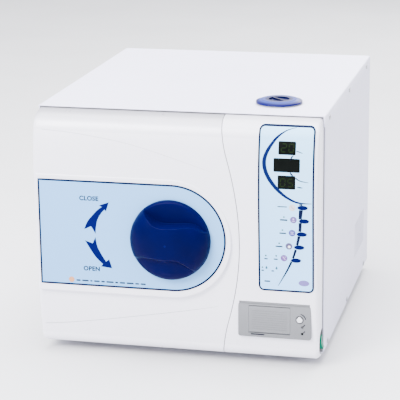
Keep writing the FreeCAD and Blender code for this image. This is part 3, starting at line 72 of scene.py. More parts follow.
# ---- materials --------------------------------------------------------------------------------
class Mat:
    """A node material whose colour, roughness and bump all come from procedural textures."""

    def __init__(self, name, rough, metallic=0.0, coat=0.0, ior=1.5):
        self.mat = bpy.data.materials.new(name)
        self.mat.use_nodes = True
        self.tree = self.mat.node_tree
        self.bsdf = self.tree.nodes["Principled BSDF"]
        self.bsdf.inputs["Roughness"].default_value = rough
        self.bsdf.inputs["Metallic"].default_value = metallic
        self.bsdf.inputs["IOR"].default_value = ior
        self.bsdf.inputs["Coat Weight"].default_value = coat
        self.bsdf.inputs["Coat Roughness"].default_value = 0.08
        self.coords = self.node("ShaderNodeTexCoord").outputs["Object"]
        self.height = None

    def node(self, kind, **props):
        n = self.tree.nodes.new(kind)
        for key, value in props.items():
            setattr(n, key, value)
        return n

    def link(self, a, b):
        self.tree.links.new(a, b)

    def stretched(self, scale):
        m = self.node("ShaderNodeMapping")
        m.inputs["Scale"].default_value = scale
        self.link(self.coords, m.inputs["Vector"])
        return m.outputs["Vector"]

    def noise(self, scale, detail=3.0, rough=0.55, stretch=None):
        n = self.node("ShaderNodeTexNoise")
        n.inputs["Scale"].default_value = scale
        n.inputs["Detail"].default_value = detail
        n.inputs["Roughness"].default_value = rough
        self.link(self.stretched(stretch) if stretch else self.coords, n.inputs["Vector"])
        return n.outputs["Fac"]

    def ramp(self, fac, stops):
        r = self.node("ShaderNodeValToRGB")
        while len(r.color_ramp.elements) < len(stops):
            r.color_ramp.elements.new(0.5)
        for e, (pos, colour) in zip(r.color_ramp.elements, stops):
            e.position = pos
            e.color = (*colour, 1.0)
        self.link(fac, r.inputs["Fac"])
        return r.outputs["Color"]

    def mapped(self, fac, low, high, start=0.3, end=0.7):
        m = self.node("ShaderNodeMapRange")
        m.inputs["From Min"].default_value = start
        m.inputs["From Max"].default_value = end
        m.inputs["To Min"].default_value = low
        m.inputs["To Max"].default_value = high
        self.link(fac, m.inputs["Value"])
        return m.outputs["Result"]

    def mix(self, fac, a, b):
        m = self.node("ShaderNodeMix", data_type="RGBA")
        self.link(fac, m.inputs[0])
        for socket, value in ((m.inputs[6], a), (m.inputs[7], b)):
            if isinstance(value, tuple):
                socket.default_value = (*value, 1.0)
            else:
                self.link(value, socket)
        return m.outputs[2]

    def multiply(self, a, b):
        m = self.node("ShaderNodeMix", data_type="RGBA", blend_type="MULTIPLY")
        m.inputs[0].default_value = 1.0
        self.link(a, m.inputs[6])
        self.link(b, m.inputs[7])
        return m.outputs[2]

    def span(self, axis, start, end):
        """Value that goes from 0 to 1 between two places, in millimetres, along an axis."""
        xyz = self.node("ShaderNodeSeparateXYZ")
        self.link(self.coords, xyz.inputs[0])
        return self.mapped(xyz.outputs[axis], 0.0, 1.0, start * MM, end * MM)

    def drift(self, scale, base, spread):
        """Slow change of tone either way from a base colour."""
        return self.ramp(self.noise(scale), [(0.3, shade(base, 1 - spread)),
                                             (0.7, shade(base, 1 + spread))])

    def colour(self, value):
        self.link(value, self.bsdf.inputs["Base Color"])
        return self

    def roughness(self, value):
        self.link(value, self.bsdf.inputs["Roughness"])
        return self

    def bump(self, height, distance, strength=1.0):
        b = self.node("ShaderNodeBump")
        b.inputs["Distance"].default_value = distance
        b.inputs["Strength"].default_value = strength
        self.link(height, b.inputs["Height"])
        if self.height is not None:
            self.link(self.height, b.inputs["Normal"])
        self.height = b.outputs["Normal"]
        self.link(self.height, self.bsdf.inputs["Normal"])
        return self


def shade(c, k):
    return tuple(min(1.0, v * k) for v in c)


def grey(v):
    return (v, v, v)


def moulded(name, base, rough=0.35, spread=0.05, grain=900.0, depth=0.00003, coat=0.0):
    """Moulded plastic: slow tone drift, fine grain, uneven gloss."""
    m = Mat(name, rough, coat=coat)
    m.colour(m.drift(9.0, base, spread))
    m.roughness(m.mapped(m.noise(60.0), rough - 0.05, rough + 0.07))
    m.bump(m.noise(grain, 2.0), depth)
    m.bump(m.noise(22.0, 1.0), 0.0001, 0.35)
    return m.mat


def moulding_with_painted_shade(name, base, shade_from, shade_to, dark):
    """Moulded plastic with painted shade: it grows greyer from one height to another."""
    m = Mat(name, 0.32, coat=0.12)
    # Painted shade: a grey ramp from full tone at shade_from to dark at shade_to multiplies the
    # colour.
    painted_shade_ramp = m.ramp(m.span("Z", shade_from, shade_to),
                   [(0.0, grey(1.0)), (0.45, grey(0.5 + dark / 2)), (1.0, grey(dark))])
    m.colour(m.multiply(m.drift(9.0, base, 0.018), painted_shade_ramp))
    m.roughness(m.mapped(m.noise(60.0), 0.27, 0.39))
    m.bump(m.noise(1100.0, 2.0), 0.00002)
    m.bump(m.noise(22.0, 1.0), 0.0001, 0.35)
    return m.mat


def powder(name, base, rough=0.42, spread=0.025):
    """Powder-coated sheet: orange-peel texture and a faint tone drift."""
    m = Mat(name, rough)
    m.colour(m.drift(5.0, base, spread))
    m.roughness(m.mapped(m.noise(140.0), rough - 0.06, rough + 0.08))
    m.bump(m.noise(420.0, 3.0), 0.00006, 0.8)
    return m.mat


def casing_paint_with_painted_shade(name, base):
    """Powder coat with painted shade: full tone on the top of the casing, darker down its sides and
    darkest at the foot.
    """
    m = Mat(name, 0.42)
    # Painted shade: grey ramp by height, 1.0 at the top edge, 0.86 below it and 0.80 at the foot.
    painted_shade_ramp = m.ramp(m.span("Z", 0.0, CASING_TOP),
                   [(0.0, grey(0.80)), (0.96, grey(0.86)), (0.995, grey(1.0))])
    m.colour(m.multiply(m.drift(5.0, base, 0.025), painted_shade_ramp))
    m.roughness(m.mapped(m.noise(140.0), 0.36, 0.50))
    m.bump(m.noise(420.0, 3.0), 0.00006, 0.8)
    return m.mat


def metal(name, base, rough=0.3, stretch=(1, 1, 1), spread=0.12, grain=300.0, depth=0.00002):
    """Bare metal with drawn or machined streaks along the short axis of stretch."""
    m = Mat(name, rough, metallic=1.0)
    streaks = m.noise(grain, 4.0, 0.6, stretch)
    m.colour(m.ramp(streaks, [(0.25, shade(base, 1 - spread)), (0.75, shade(base, 1 + spread))]))
    m.roughness(m.mapped(m.noise(35.0, 4.0), rough - 0.08, rough + 0.12))
    m.bump(streaks, depth)
    return m.mat


def soft(name, base, rough=0.8):
    """Rubber, silicone and foam: matt with a dusty bloom and pits."""
    m = Mat(name, rough)
    m.colour(m.ramp(m.noise(45.0, 5.0), [(0.3, shade(base, 0.75)), (0.72, shade(base, 1.3))]))
    m.roughness(m.mapped(m.noise(160.0), rough - 0.1, rough + 0.1))
    m.bump(m.noise(520.0, 4.0), 0.00012)
    return m.mat


def film(name, top, low, z0, z1, x0, x1):
    """Printed film: an even pale tint that shifts across the sheet."""
    m = Mat(name, 0.33)
    m.bsdf.inputs["Specular IOR Level"].default_value = 0.3
    base = m.mix(m.span("Z", z0, z1), low, top)
    tint = m.mix(m.span("X", x0, x1), (0.93, 0.95, 0.99), grey(1.0))
    speck = m.ramp(m.noise(900.0, 2.0), [(0.3, grey(0.965)), (0.7, grey(1.0))])
    m.colour(m.multiply(m.multiply(base, tint), speck))
    m.roughness(m.mapped(m.noise(70.0), 0.28, 0.40))
    m.bump(m.noise(700.0, 2.0), 0.00002)
    return m.mat


def ink(name, base, rough=0.4):
    """Printed ink: faint screen-print mottling."""
    m = Mat(name, rough)
    m.bsdf.inputs["Specular IOR Level"].default_value = 0.04
    m.colour(m.ramp(m.noise(1200.0, 2.0), [(0.3, shade(base, 0.86)), (0.7, shade(base, 1.12))]))
    m.roughness(m.mapped(m.noise(300.0), rough - 0.05, rough + 0.08))
    m.bump(m.noise(1500.0, 2.0), 0.00001)
    return m.mat


def knob_plastic(name):
    """Deep blue gloss plastic with a slow flow mark."""
    m = Mat(name, 0.4, coat=0.0, ior=1.33)
    m.bsdf.inputs["Specular IOR Level"].default_value = 0.06
    m.colour(m.ramp(m.noise(14.0, 2.0), [(0.3, (0.0, 0.0, 0.024)), (0.7, (0.0, 0.0, 0.034))]))
    m.roughness(m.mapped(m.noise(90.0), 0.34, 0.44))
    m.bump(m.noise(650.0, 2.0), 0.00002)
    m.bump(m.noise(30.0, 1.0), 0.0002, 0.25)
    return m.mat


def cap_plastic(name):
    """Blue cap with painted light: its top ring is painted paler as a highlight, its outer edge and
    dished middle darker as painted shade.
    """
    m = Mat(name, 0.3)
    m.bsdf.inputs["Specular IOR Level"].default_value = 0.1
    at = m.node("ShaderNodeVectorMath", operation="DISTANCE")
    flat = m.node("ShaderNodeVectorMath", operation="MULTIPLY")
    m.link(m.coords, flat.inputs[0])
    flat.inputs[1].default_value = (1.0, 1.0, 0.0)
    m.link(flat.outputs[0], at.inputs[0])
    at.inputs[1].default_value = (CAP_X * MM, CAP_Y * MM, 0.0)
    # Painted highlight on the top ring and painted shade in the dished middle and at the outer
    # edge, set by distance from the cap's axis.
    ring = m.ramp(m.mapped(at.outputs["Value"], 0.0, 1.0, 0.0, CAP_R * MM),
                  [(0.0, (0.0, 0.0, 0.02)), (0.56, (0.0, 0.001, 0.04)),
                   (0.62, (0.022, 0.038, 0.21)), (0.82, (0.026, 0.045, 0.23)),
                   (0.93, (0.0, 0.001, 0.07))])
    m.colour(m.multiply(ring, m.ramp(m.noise(120.0, 4.0), [(0.3, grey(0.86)), (0.7, grey(1.0))])))
    m.roughness(m.mapped(m.noise(80.0), 0.25, 0.4))
    m.bump(m.noise(600.0, 2.0), 0.00003)
    return m.mat


def lit_green(name):
    """Translucent green rocker glowing from the lamp behind it."""
    m = Mat(name, 0.35)
    m.bsdf.inputs["Specular IOR Level"].default_value = 0.15
    c = m.ramp(m.noise(90.0, 3.0), [(0.3, (0.0, 0.10, 0.055)), (0.7, (0.0, 0.17, 0.10))])
    m.colour(c)
    m.link(c, m.bsdf.inputs["Emission Color"])
    m.bsdf.inputs["Emission Strength"].default_value = 0.25
    m.roughness(m.mapped(m.noise(200.0), 0.3, 0.42))
    m.bump(m.noise(700.0, 2.0), 0.00003)
    return m.mat


def smoked(name):
    """Dark green filter window with a satin face."""
    m = Mat(name, 0.35)
    m.bsdf.inputs["Specular IOR Level"].default_value = 0.06
    m.colour(m.ramp(m.noise(240.0, 3.0), [(0.3, (0.0, 0.0006, 0.0004)),
                                          (0.7, (0.0002, 0.001, 0.0007))]))
    m.roughness(m.mapped(m.noise(60.0), 0.3, 0.42))
    m.bump(m.noise(300.0, 2.0), 0.00001)
    return m.mat


def circuit(name):
    """Green circuit board with tinned pads."""
    m = Mat(name, 0.4)
    pads = m.node("ShaderNodeTexVoronoi")
    pads.inputs["Scale"].default_value = 260.0
    m.link(m.coords, pads.inputs["Vector"])
    m.colour(m.ramp(pads.outputs["Distance"], [(0.1, (0.30, 0.26, 0.08)),
                                               (0.22, (0.01, 0.11, 0.05))]))
    m.roughness(m.mapped(m.noise(90.0), 0.35, 0.5))
    m.bump(pads.outputs["Distance"], 0.0002)
    return m.mat


WHITE = (0.80, 0.79, 0.88)
SHEET = (0.73, 0.725, 0.90)
NAVY = (0.002, 0.004, 0.024)

FINISH = {
    # painted_sheet carries painted shade down the sides of the casing.
    "painted_sheet": casing_paint_with_painted_shade("painted_sheet", SHEET),
    # white_moulding carries painted shade: full tone below z 374, darkening towards the casing lip
    # at z 391.
    "white_moulding": moulding_with_painted_shade("white_moulding", WHITE, 374.0, 391.0, 0.28),
    "grey_moulding": moulded("grey_moulding", (0.235, 0.24, 0.255), 0.45, 0.03, 700.0, 0.00008),
    "dark_plastic": moulded("dark_plastic", (0.03, 0.03, 0.034), 0.5, 0.2, 600.0, 0.0001),
    "blue_plastic": cap_plastic("blue_plastic"),
    "red_plastic": moulded("red_plastic", (0.42, 0.015, 0.012), 0.35, 0.1),
    "navy_plastic": knob_plastic("navy_plastic"),
    "green_plastic": lit_green("green_plastic"),
    "rubber": soft("rubber", (0.022, 0.022, 0.024)),
    "silicone": soft("silicone", (0.48, 0.12, 0.07), 0.6),
    "insulation_foam": soft("insulation_foam", (0.42, 0.40, 0.33), 0.95),
    "zinc_sheet": metal("zinc_sheet", (0.58, 0.59, 0.61), 0.42, (1, 1, 6), 0.14, 40.0, 0.00005),
    "screw_steel": metal("screw_steel", (0.40, 0.41, 0.44), 0.32, (2, 2, 2), 0.2, 260.0),
    "chrome": metal("chrome", (0.72, 0.73, 0.76), 0.14, (1, 1, 1), 0.06, 90.0),
    "stainless": metal("stainless", (0.62, 0.63, 0.64), 0.27, (1, 14, 1), 0.1, 24.0),
    "tray_aluminium": metal("tray_aluminium", (0.66, 0.67, 0.69), 0.38, (1, 18, 1), 0.1, 20.0),
    "aluminium_fins": metal("aluminium_fins", (0.55, 0.56, 0.58), 0.5, (1, 1, 1), 0.18, 70.0),
    "pump_casting": metal("pump_casting", (0.36, 0.37, 0.39), 0.62, (1, 1, 1), 0.22, 350.0, 0.0002),
    "heater_mica": metal("heater_mica", (0.33, 0.28, 0.22), 0.6, (1, 1, 1), 0.25, 120.0, 0.0001),
    "brass": metal("brass", (0.60, 0.44, 0.17), 0.3, (1, 9, 1), 0.16, 60.0),
    "copper": metal("copper", (0.62, 0.28, 0.16), 0.3, (1, 1, 1), 0.2, 50.0),
    "arm_casting": powder("arm_casting", (0.16, 0.165, 0.18), 0.5, 0.15),
    "natural_tank": moulded("natural_tank", (0.72, 0.75, 0.72), 0.45, 0.05),
    "paper": soft("paper", (0.80, 0.80, 0.77), 0.9),
    "dark_window": smoked("dark_window"),
    "circuit_board": circuit("circuit_board"),
    "pale_blue_film": film("pale_blue_film", (0.175, 0.41, 0.76), (0.165, 0.39, 0.73),
                           117, 286, -215, 79),
}
# Painted shade under the casing lip on the right fascia, darkening from z 378 to 391.
FASCIA_LIP_SHADE = moulding_with_painted_shade("fascia_white_lip_shade", WHITE, 378.0, 391.0, 0.62)
# Painted shade on the printer housing and door: darker towards the bottom, from z 120 down to 40.
PRINTER_PAINTED_SHADE = moulding_with_painted_shade("printer_grey_painted_shade", (0.165, 0.17, 0.185), 120.0, 40.0, 0.70)
PANEL_FILM = film("panel_film", (0.36, 0.70, 1.0), (0.30, 0.60, 1.0), 128, 382, 130, 215)
KEY_INK = ink("key_blue", (0.0, 0.001, 0.05), 0.32)
BORDER_INK = ink("border_navy", NAVY)
ARROW_INK = ink("arrow_blue", (0.0, 0.001, 0.058))
TEXT_INK = ink("text_grey", (0.002, 0.003, 0.010), 0.5)
SOFT_INK = ink("pale_text_grey", (0.020, 0.034, 0.06), 0.5)
ICON_TONE = 0.6           # how much darker the icon discs are printed than their own colour
LETTER_DEPTH = 0.00018    # metres, half the thickness of a letter
LETTER_WEIGHT = 0.00034   # metres that the outline of a letter is widened

for part in frame["record"]["subparts"]:
    mesh = NODES[part["node"]].data
    mesh.materials.clear()
    mesh.materials.append(FINISH[part["material_slot"]])
NODES["control_label"].data.materials[0] = PANEL_FILM
NODES["right_fascia"].data.materials[0] = FASCIA_LIP_SHADE
for node in ("printer_housing", "printer_door"):
    NODES[node].data.materials[0] = PRINTER_PAINTED_SHADE
for i in range(1, 6):
    NODES["key_%d" % i].data.materials[0] = KEY_INK


# ---- mesh helpers -----------------------------------------------------------------------------
AHEAD = -0.6              # metres, a place well in front of the machine


def trace(node):
    """Finds how far forward a CAD face lies at a place, or just above or below it."""
    mesh = NODES[node].data
    tree = BVHTree.FromPolygons([v.co.copy() for v in mesh.vertices],
                                [tuple(p.vertices) for p in mesh.polygons])

    def cast(x, z):
        return tree.ray_cast(Vector((x * MM, AHEAD, z * MM)), Vector((0, 1, 0)))[0]

    def at(x, z):
        hit = cast(x, z)
        for step in (1.0, 2.5, 4.0):
            for side in (-step, step):
                if hit is None:
                    hit = cast(x, z + side)
        return hit.y if hit else None

    return at


def finish_piece(bm, name, mat, body, smooth=True):
    """Turns a bmesh into a named piece that rides on a body."""
    mesh = bpy.data.meshes.new(name)
    bm.normal_update()
    bm.to_mesh(mesh)
    bm.free()
    obj = bpy.data.objects.new(name, mesh)
    bpy.context.collection.objects.link(obj)
    mesh.materials.append(mat)
    if smooth:
        for p in mesh.polygons:
            p.use_smooth = True
    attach(obj, body)
    return obj


def slab(bm, outline, at, proud):
    """Thin plate of a closed outline, laid on the face that at() finds."""
    front, back = [], []
    for x, z in outline:
        y = at(x, z)
        front.append(bm.verts.new((x * MM, y - proud, z * MM)))
        back.append(bm.verts.new((x * MM, y + SINK, z * MM)))
    bm.faces.new(front)
    bm.faces.new(list(reversed(back)))
    n = len(outline)
    for i in range(n):
        j = (i + 1) % n
        bm.faces.new((front[i], back[i], back[j], front[j]))


def strip(bm, line, at, proud, closed=False):
    """Ribbon of varying width along a line of (x, z, width)."""
    n = len(line)
    rows = []
    for i, (x, z, w) in enumerate(line):
        a = line[(i - 1) % n] if closed or i > 0 else line[i]
        b = line[(i + 1) % n] if closed or i < n - 1 else line[i]
        dx, dz = b[0] - a[0], b[1] - a[1]
        k = math.hypot(dx, dz) or 1.0
        nx, nz = -dz / k * w / 2, dx / k * w / 2
        ends = []
        for s in (1, -1):
            px, pz = x + s * nx, z + s * nz
            y = at(px, pz)
            if y is None:
                y = at(x, z)
            ends.append((bm.verts.new((px * MM, y - proud, pz * MM)),
                         bm.verts.new((px * MM, y + SINK, pz * MM))))
        rows.append(ends)
    last = n if closed else n - 1
    for i in range(last):
        (a, a2), (b, b2) = rows[i]
        (c, c2), (d, d2) = rows[(i + 1) % n]
        bm.faces.new((a, b, d, c))
        bm.faces.new((a2, c2, d2, b2))
        bm.faces.new((a, c, c2, a2))
        bm.faces.new((b, b2, d2, d))
    if not closed:
        for i in (0, n - 1):
            (a, a2), (b, b2) = rows[i]
            bm.faces.new((a, a2, b2, b))
    bmesh.ops.recalc_face_normals(bm, faces=bm.faces)


def smooth_line(points, steps=8):
    """Catmull-Rom curve through (x, z, width) points."""
    pts = [points[0]] + list(points) + [points[-1]]
    out = []
    for i in range(1, len(pts) - 2):
        p0, p1, p2, p3 = pts[i - 1:i + 3]
        for s in range(steps):
            t = s / steps
            out.append(tuple(
                0.5 * (2 * b + (c - a) * t + (2 * a - 5 * b + 4 * c - d) * t * t
                       + (3 * b - a - 3 * c + d) * t ** 3)
                for a, b, c, d in zip(p0, p1, p2, p3)))
    out.append(points[-1])
    return out


def heavier(line, k):
    return [(x, z, w * k) for x, z, w in line]


def disc(x, z, a, b=None, n=28):
    """Circle, or an oval where a second half width is given."""
    b = b or a
    return [(x + a * math.cos(2 * math.pi * i / n), z + b * math.sin(2 * math.pi * i / n))
            for i in range(n)]


def bar(x0, x1, z, h):
    """Level bar with round ends."""
    r = h / 2
    left = [(x0 + r - r * math.sin(math.pi * i / 4), z + r * math.cos(math.pi * i / 4))
            for i in range(5)]
    right = [(x1 - r + r * math.sin(math.pi * i / 4), z - r * math.cos(math.pi * i / 4))
             for i in range(5)]
    return left + right


def rounded(x0, x1, z0, z1, r, per_edge=20, corner=7):
    """Closed line round a rounded rectangle, evenly cut along its sides."""
    out = []
    sides = (((x0 + r, z0), (x1 - r, z0), (x1 - r, z0 + r), -90),
             ((x1, z0 + r), (x1, z1 - r), (x1 - r, z1 - r), 0),
             ((x1 - r, z1), (x0 + r, z1), (x0 + r, z1 - r), 90),
             ((x0, z1 - r), (x0, z0 + r), (x0 + r, z0 + r), 180))
    for a, b, c, start in sides:
        for i in range(per_edge):
            t = i / per_edge
            out.append((a[0] + (b[0] - a[0]) * t, a[1] + (b[1] - a[1]) * t))
        for i in range(corner):
            ang = math.radians(start + 90.0 * i / corner)
            out.append((c[0] + r * math.cos(ang), c[1] + r * math.sin(ang)))
    return out


def print_on(name, outlines, at, mat, body, proud=0.00012):
    """Printed shapes, each a closed outline laid on a face."""
    bm = bmesh.new()
    for outline in outlines:
        slab(bm, outline, at, proud)
    return finish_piece(bm, name, mat, body, smooth=False)


def words(name, text, x, z, height, at, mat, body):
    """Plain capital letters, laid flat on a label."""
    curve = bpy.data.curves.new(name, "FONT")
    curve.body = text
    curve.size = height * MM / 0.7
    curve.extrude = LETTER_DEPTH
    curve.offset = LETTER_WEIGHT
    curve.space_character = 1.08
    curve.align_x = "CENTER"
    curve.align_y = "CENTER"
    temp = bpy.data.objects.new(name + "_font", curve)
    mesh = bpy.data.meshes.new_from_object(temp)
    y = at(x, z)
    for v in mesh.vertices:
        v.co = Vector((x * MM + v.co.x, y - v.co.z + 0.00004, z * MM + v.co.y))
    bm = bmesh.new()
    bm.from_mesh(mesh)
    bmesh.ops.recalc_face_normals(bm, faces=bm.faces)
    bpy.data.objects.remove(temp)
    return finish_piece(bm, name, mat, body, smooth=False)


# ---- door label -------------------------------------------------------------------------------
on_label = trace("door_label")


def label_border():
    """Line just inside the edge of the label: straight at the left, half round at the right."""
    cuts = 72
    x0 = LABEL_X0 + BORDER_IN
    r = LABEL_R - BORDER_IN
    out = [(x0, LABEL_Z - r + 2 * r * i / cuts) for i in range(cuts)]
    out += [(x0 + (LABEL_X - x0) * i / cuts, LABEL_Z + r) for i in range(cuts)]
    for i in range(cuts):
        a = math.radians(90 - 180 * i / cuts)
        out.append((LABEL_X + r * math.cos(a), LABEL_Z + r * math.sin(a)))
    out += [(LABEL_X + (x0 - LABEL_X) * i / cuts, LABEL_Z - r) for i in range(cuts)]
    return out


bm = bmesh.new()
strip(bm, [(x, z, BORDER_W) for x, z in label_border()], on_label, 0.0003, closed=True)
finish_piece(bm, "door_label_border", BORDER_INK, "door", smooth=False)


def swept_arrow(outer, inner, notch, head):
    """Crescent arrow: curved body, swallow tail and a barbed head."""
    left = smooth_line([(x, z, 0) for x, z in outer], 5)
    right = smooth_line([(x, z, 0) for x, z in inner], 5)
    return [(x, z) for x, z, _ in left] + head + [(x, z) for x, z, _ in reversed(right)] + [notch]


# Outer edge, inner edge, tail notch and head of each arrow, as (x, z).
close_arrow = swept_arrow(
    [(-142.5, 210.0), (-137.0, 222.4), (-129.4, 232.0), (-120.6, 241.6), (-113.2, 247.2)],
    [(-124.0, 203.8), (-122.7, 216.8), (-119.6, 228.0), (-113.6, 237.8), (-108.6, 243.2)],
    (-131.0, 215.4), [(-117.6, 249.4), (-101.6, 255.2), (-106.6, 240.2)])
open_arrow = swept_arrow(
    [(-141.6, 192.4), (-131.0, 175.2), (-122.6, 163.8), (-113.6, 155.6)],
    [(-124.4, 198.4), (-121.6, 183.8), (-115.8, 171.8), (-108.4, 159.8)],
    (-129.2, 188.2), [(-116.8, 151.6), (-98.8, 149.6), (-103.4, 164.0)])
print_on("turn_arrows", [close_arrow, open_arrow], on_label, ARROW_INK, "door",
         0.00014)
words("word_close", "CLOSE", -133.4, 259.4, 6.8, on_label, TEXT_INK, "door")
words("word_open", "OPEN", -131.8, 146.8, 6.8, on_label, TEXT_INK, "door")

NOTE_X, NOTE_Z, NOTE_H, NOTE_GAP = -157.5, 127.0, 2.5, 2.2
NOTE_DASHES = (7.0, 11.0, 4.0, 9.5, 6.0, 12.0, 5.0, 9.0, 11.5, 6.5, 8.5)
dashes = []
x = NOTE_X
for w in NOTE_DASHES:
    dashes.append(bar(x, x + w, NOTE_Z, NOTE_H))
    x += w + NOTE_GAP
print_on("note_line", dashes, on_label, SOFT_INK, "door")
print_on("note_dot", [disc(-165.0, 127.6, 4.6)], on_label,
         ink("dot_peach", (0.50, 0.23, 0.13), 0.5), "door")

# ---- knob -------------------------------------------------------------------------------------
# Edges of the two finger scoops as (across, up) from the knob's axis.
UPPER = [(-47, 60), (-40, 49.5), (-34.5, 43), (-28.5, 37.3), (-20.3, 30.8), (-9.7, 27.2),
         (4.5, 27), (16.2, 28), (28.6, 28.7), (39.7, 27.9), (46.8, 24.8), (52.9, 20.5),
         (57, 18), (72, 14)]
LOWER = [(-72, -30), (-56, -26), (-46, -22.5), (-36, -20.5), (-22, -21.7), (-3.5, -23.3),
         (11.5, -22.4), (21.3, -25.2), (30.3, -31.5), (38.4, -39.2), (46, -47), (54, -56)]
FAR = 200.0
LOWER_DEPTH = 0.40     # share of the grip height taken out below the lower edge
DOME = 2.4             # fullness of the grip, 2 is a half ellipse
FLOOR, FLOOR_RISE = 7.4, 1.2   # scoop floor above the knob's back, and its rise outwards
ROUND_FROM = 0.93      # share of the radius where the scoop floor rounds off to the back
EDGE, SOFT_EDGE = 1.4, 7.6     # width of the upper and of the lower scoop wall


def along(points, u):
    """Height of a smooth line through (u, v) points, or None beyond its ends."""
    pts = [points[0]] + points + [points[-1]]
    for i in range(1, len(pts) - 2):
        (x0, z0), (x1, z1), (x2, z2), (x3, z3) = pts[i - 1:i + 3]
        if x1 <= u <= x2:
            t = (u - x1) / (x2 - x1)
            m1 = (z2 - z0) / (x2 - x0) * (x2 - x1)
            m2 = (z3 - z1) / (x3 - x1) * (x2 - x1)
            return ((2 * t ** 3 - 3 * t * t + 1) * z1 + (t ** 3 - 2 * t * t + t) * m1
                    + (3 * t * t - 2 * t ** 3) * z2 + (t ** 3 - t * t) * m2)
    return None


def upper_edge(u):
    return FAR if u < UPPER[0][0] else along(UPPER, u)


def lower_edge(u):
    return -FAR if u > LOWER[-1][0] else along(LOWER, u)


def eased(t):
    t = max(0.0, min(1.0, t))
    return t * t * (3 - 2 * t)


def knob_face(u, v):
    """Forward face of the knob in millimetres from its back, from both grip and scoops."""
    r = min(1.0, math.hypot(u, v) / KNOB_R)
    depth = KNOB_BACK - KNOB_FRONT
    grip = depth * (1 - r ** DOME) ** (1 / DOME)
    rim = FLOOR + FLOOR_RISE * eased((r - 0.55) / 0.38)
    if r > ROUND_FROM:
        rim *= (1 - ((r - ROUND_FROM) / (1 - ROUND_FROM)) ** 2.6) ** 0.5
    above = 1 - eased((v - upper_edge(u) + EDGE / 2) / EDGE)
    below = 1 - LOWER_DEPTH * eased((lower_edge(u) - v + 1.4) / SOFT_EDGE)
    base = min(rim, grip)
    return base + (grip - base) * min(above, below)


def build_knob():
    """Columns across the knob, whose rows crowd at the two scoop walls and at the rim."""
    bm = bmesh.new()
    cols = 130
    between = 16
    outward = [0.0, 0.16, 0.34, 0.52, 0.66, 0.76, 0.84, 0.90, 0.94, 0.965, 0.985, 1.0]
    wall = [-1.2, -0.75, -0.5, -0.25, 0.0, 0.25, 0.5, 0.75, 1.2]
    soft_wall = [-6.4, -5.6, -4.8, -4.0, -3.2, -2.4, -1.6, -0.8, 0.0, 0.8, 1.6]
    grid = []
    for i in range(cols + 1):
        u = -KNOB_R * math.cos(math.pi * i / cols)
        top = math.sqrt(max(0.0, KNOB_R ** 2 - u * u))
        hi = min(upper_edge(u), top + 3.0)
        lo = max(lower_edge(u), -top - 3.0)
        vs = [-top + max(0.0, lo + soft_wall[0] + top) * (1 - t) for t in reversed(outward)]
        vs += [lo + w for w in soft_wall]
        first, last = lo + soft_wall[-1], hi + wall[0]
        vs += [first + (last - first) * t / between for t in range(1, between)]
        vs += [hi + w for w in wall]
        vs += [hi + wall[-1] + max(0.0, top - hi - wall[-1]) * t for t in outward]
        col = []
        for v in vs:
            v = max(-top, min(top, v))
            y = KNOB_BACK - knob_face(u, v)
            col.append(bm.verts.new(((AX_X + u) * MM, y * MM, (AX_Z + v) * MM)))
        grid.append(col)
    rows = len(grid[0])
    for i in range(cols):
        for j in range(rows - 1):
            bm.faces.new((grid[i][j], grid[i + 1][j], grid[i + 1][j + 1], grid[i][j + 1]))
    bmesh.ops.remove_doubles(bm, verts=bm.verts, dist=0.00004)
    bmesh.ops.dissolve_degenerate(bm, dist=0.00001, edges=bm.edges)
    rim = [e for e in bm.edges if e.is_boundary]
    ext = bmesh.ops.extrude_edge_only(bm, edges=rim)
    new = [g for g in ext["geom"] if isinstance(g, bmesh.types.BMVert)]
    for v in new:
        v.co.y = KNOB_BACK * MM
    back = [g for g in ext["geom"] if isinstance(g, bmesh.types.BMEdge)]
    bmesh.ops.holes_fill(bm, edges=back, sides=0)
    bmesh.ops.recalc_face_normals(bm, faces=bm.faces)
    return finish_piece(bm, "turn_knob", FINISH["navy_plastic"], "door_knob")


knob = build_knob()
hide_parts("knob")

# The small raised gate mark in the middle of the grip.
bm = bmesh.new()
ring_at = KNOB_BACK - knob_face(0, 0)
centre = bm.verts.new((AX_X * MM, (ring_at + 0.15) * MM, AX_Z * MM))
loops = []
for r, up in ((0.8, 0.12), (1.6, 0.02), (2.0, -0.08)):
    loops.append([bm.verts.new(((AX_X + r * math.cos(a)) * MM, (ring_at + 0.05 - up) * MM,
                                (AX_Z + r * math.sin(a)) * MM))
                  for a in (2 * math.pi * k / 24 for k in range(24))])
for k in range(24):
    n = (k + 1) % 24
    bm.faces.new((centre, loops[0][k], loops[0][n]))
    for a, b in zip(loops, loops[1:]):
        bm.faces.new((a[k], b[k], b[n], a[n]))
bmesh.ops.recalc_face_normals(bm, faces=bm.faces)
finish_piece(bm, "knob_gate_mark", ink("gate_mark", (0.003, 0.005, 0.075)),
             "door_knob")

# ---- control panel graphics -------------------------------------------------------------------
on_panel = trace("control_label")

bm = bmesh.new()
x0, x1, z0, z1 = PANEL
outline = rounded(x0 + BORDER_IN, x1 - BORDER_IN, z0 + BORDER_IN, z1 - BORDER_IN, 7.0, 90, 12)
strip(bm, [(x, z, BORDER_W) for x, z in outline], on_panel, 0.0003, closed=True)
finish_piece(bm, "panel_border", BORDER_INK, "cabinet", smooth=False)

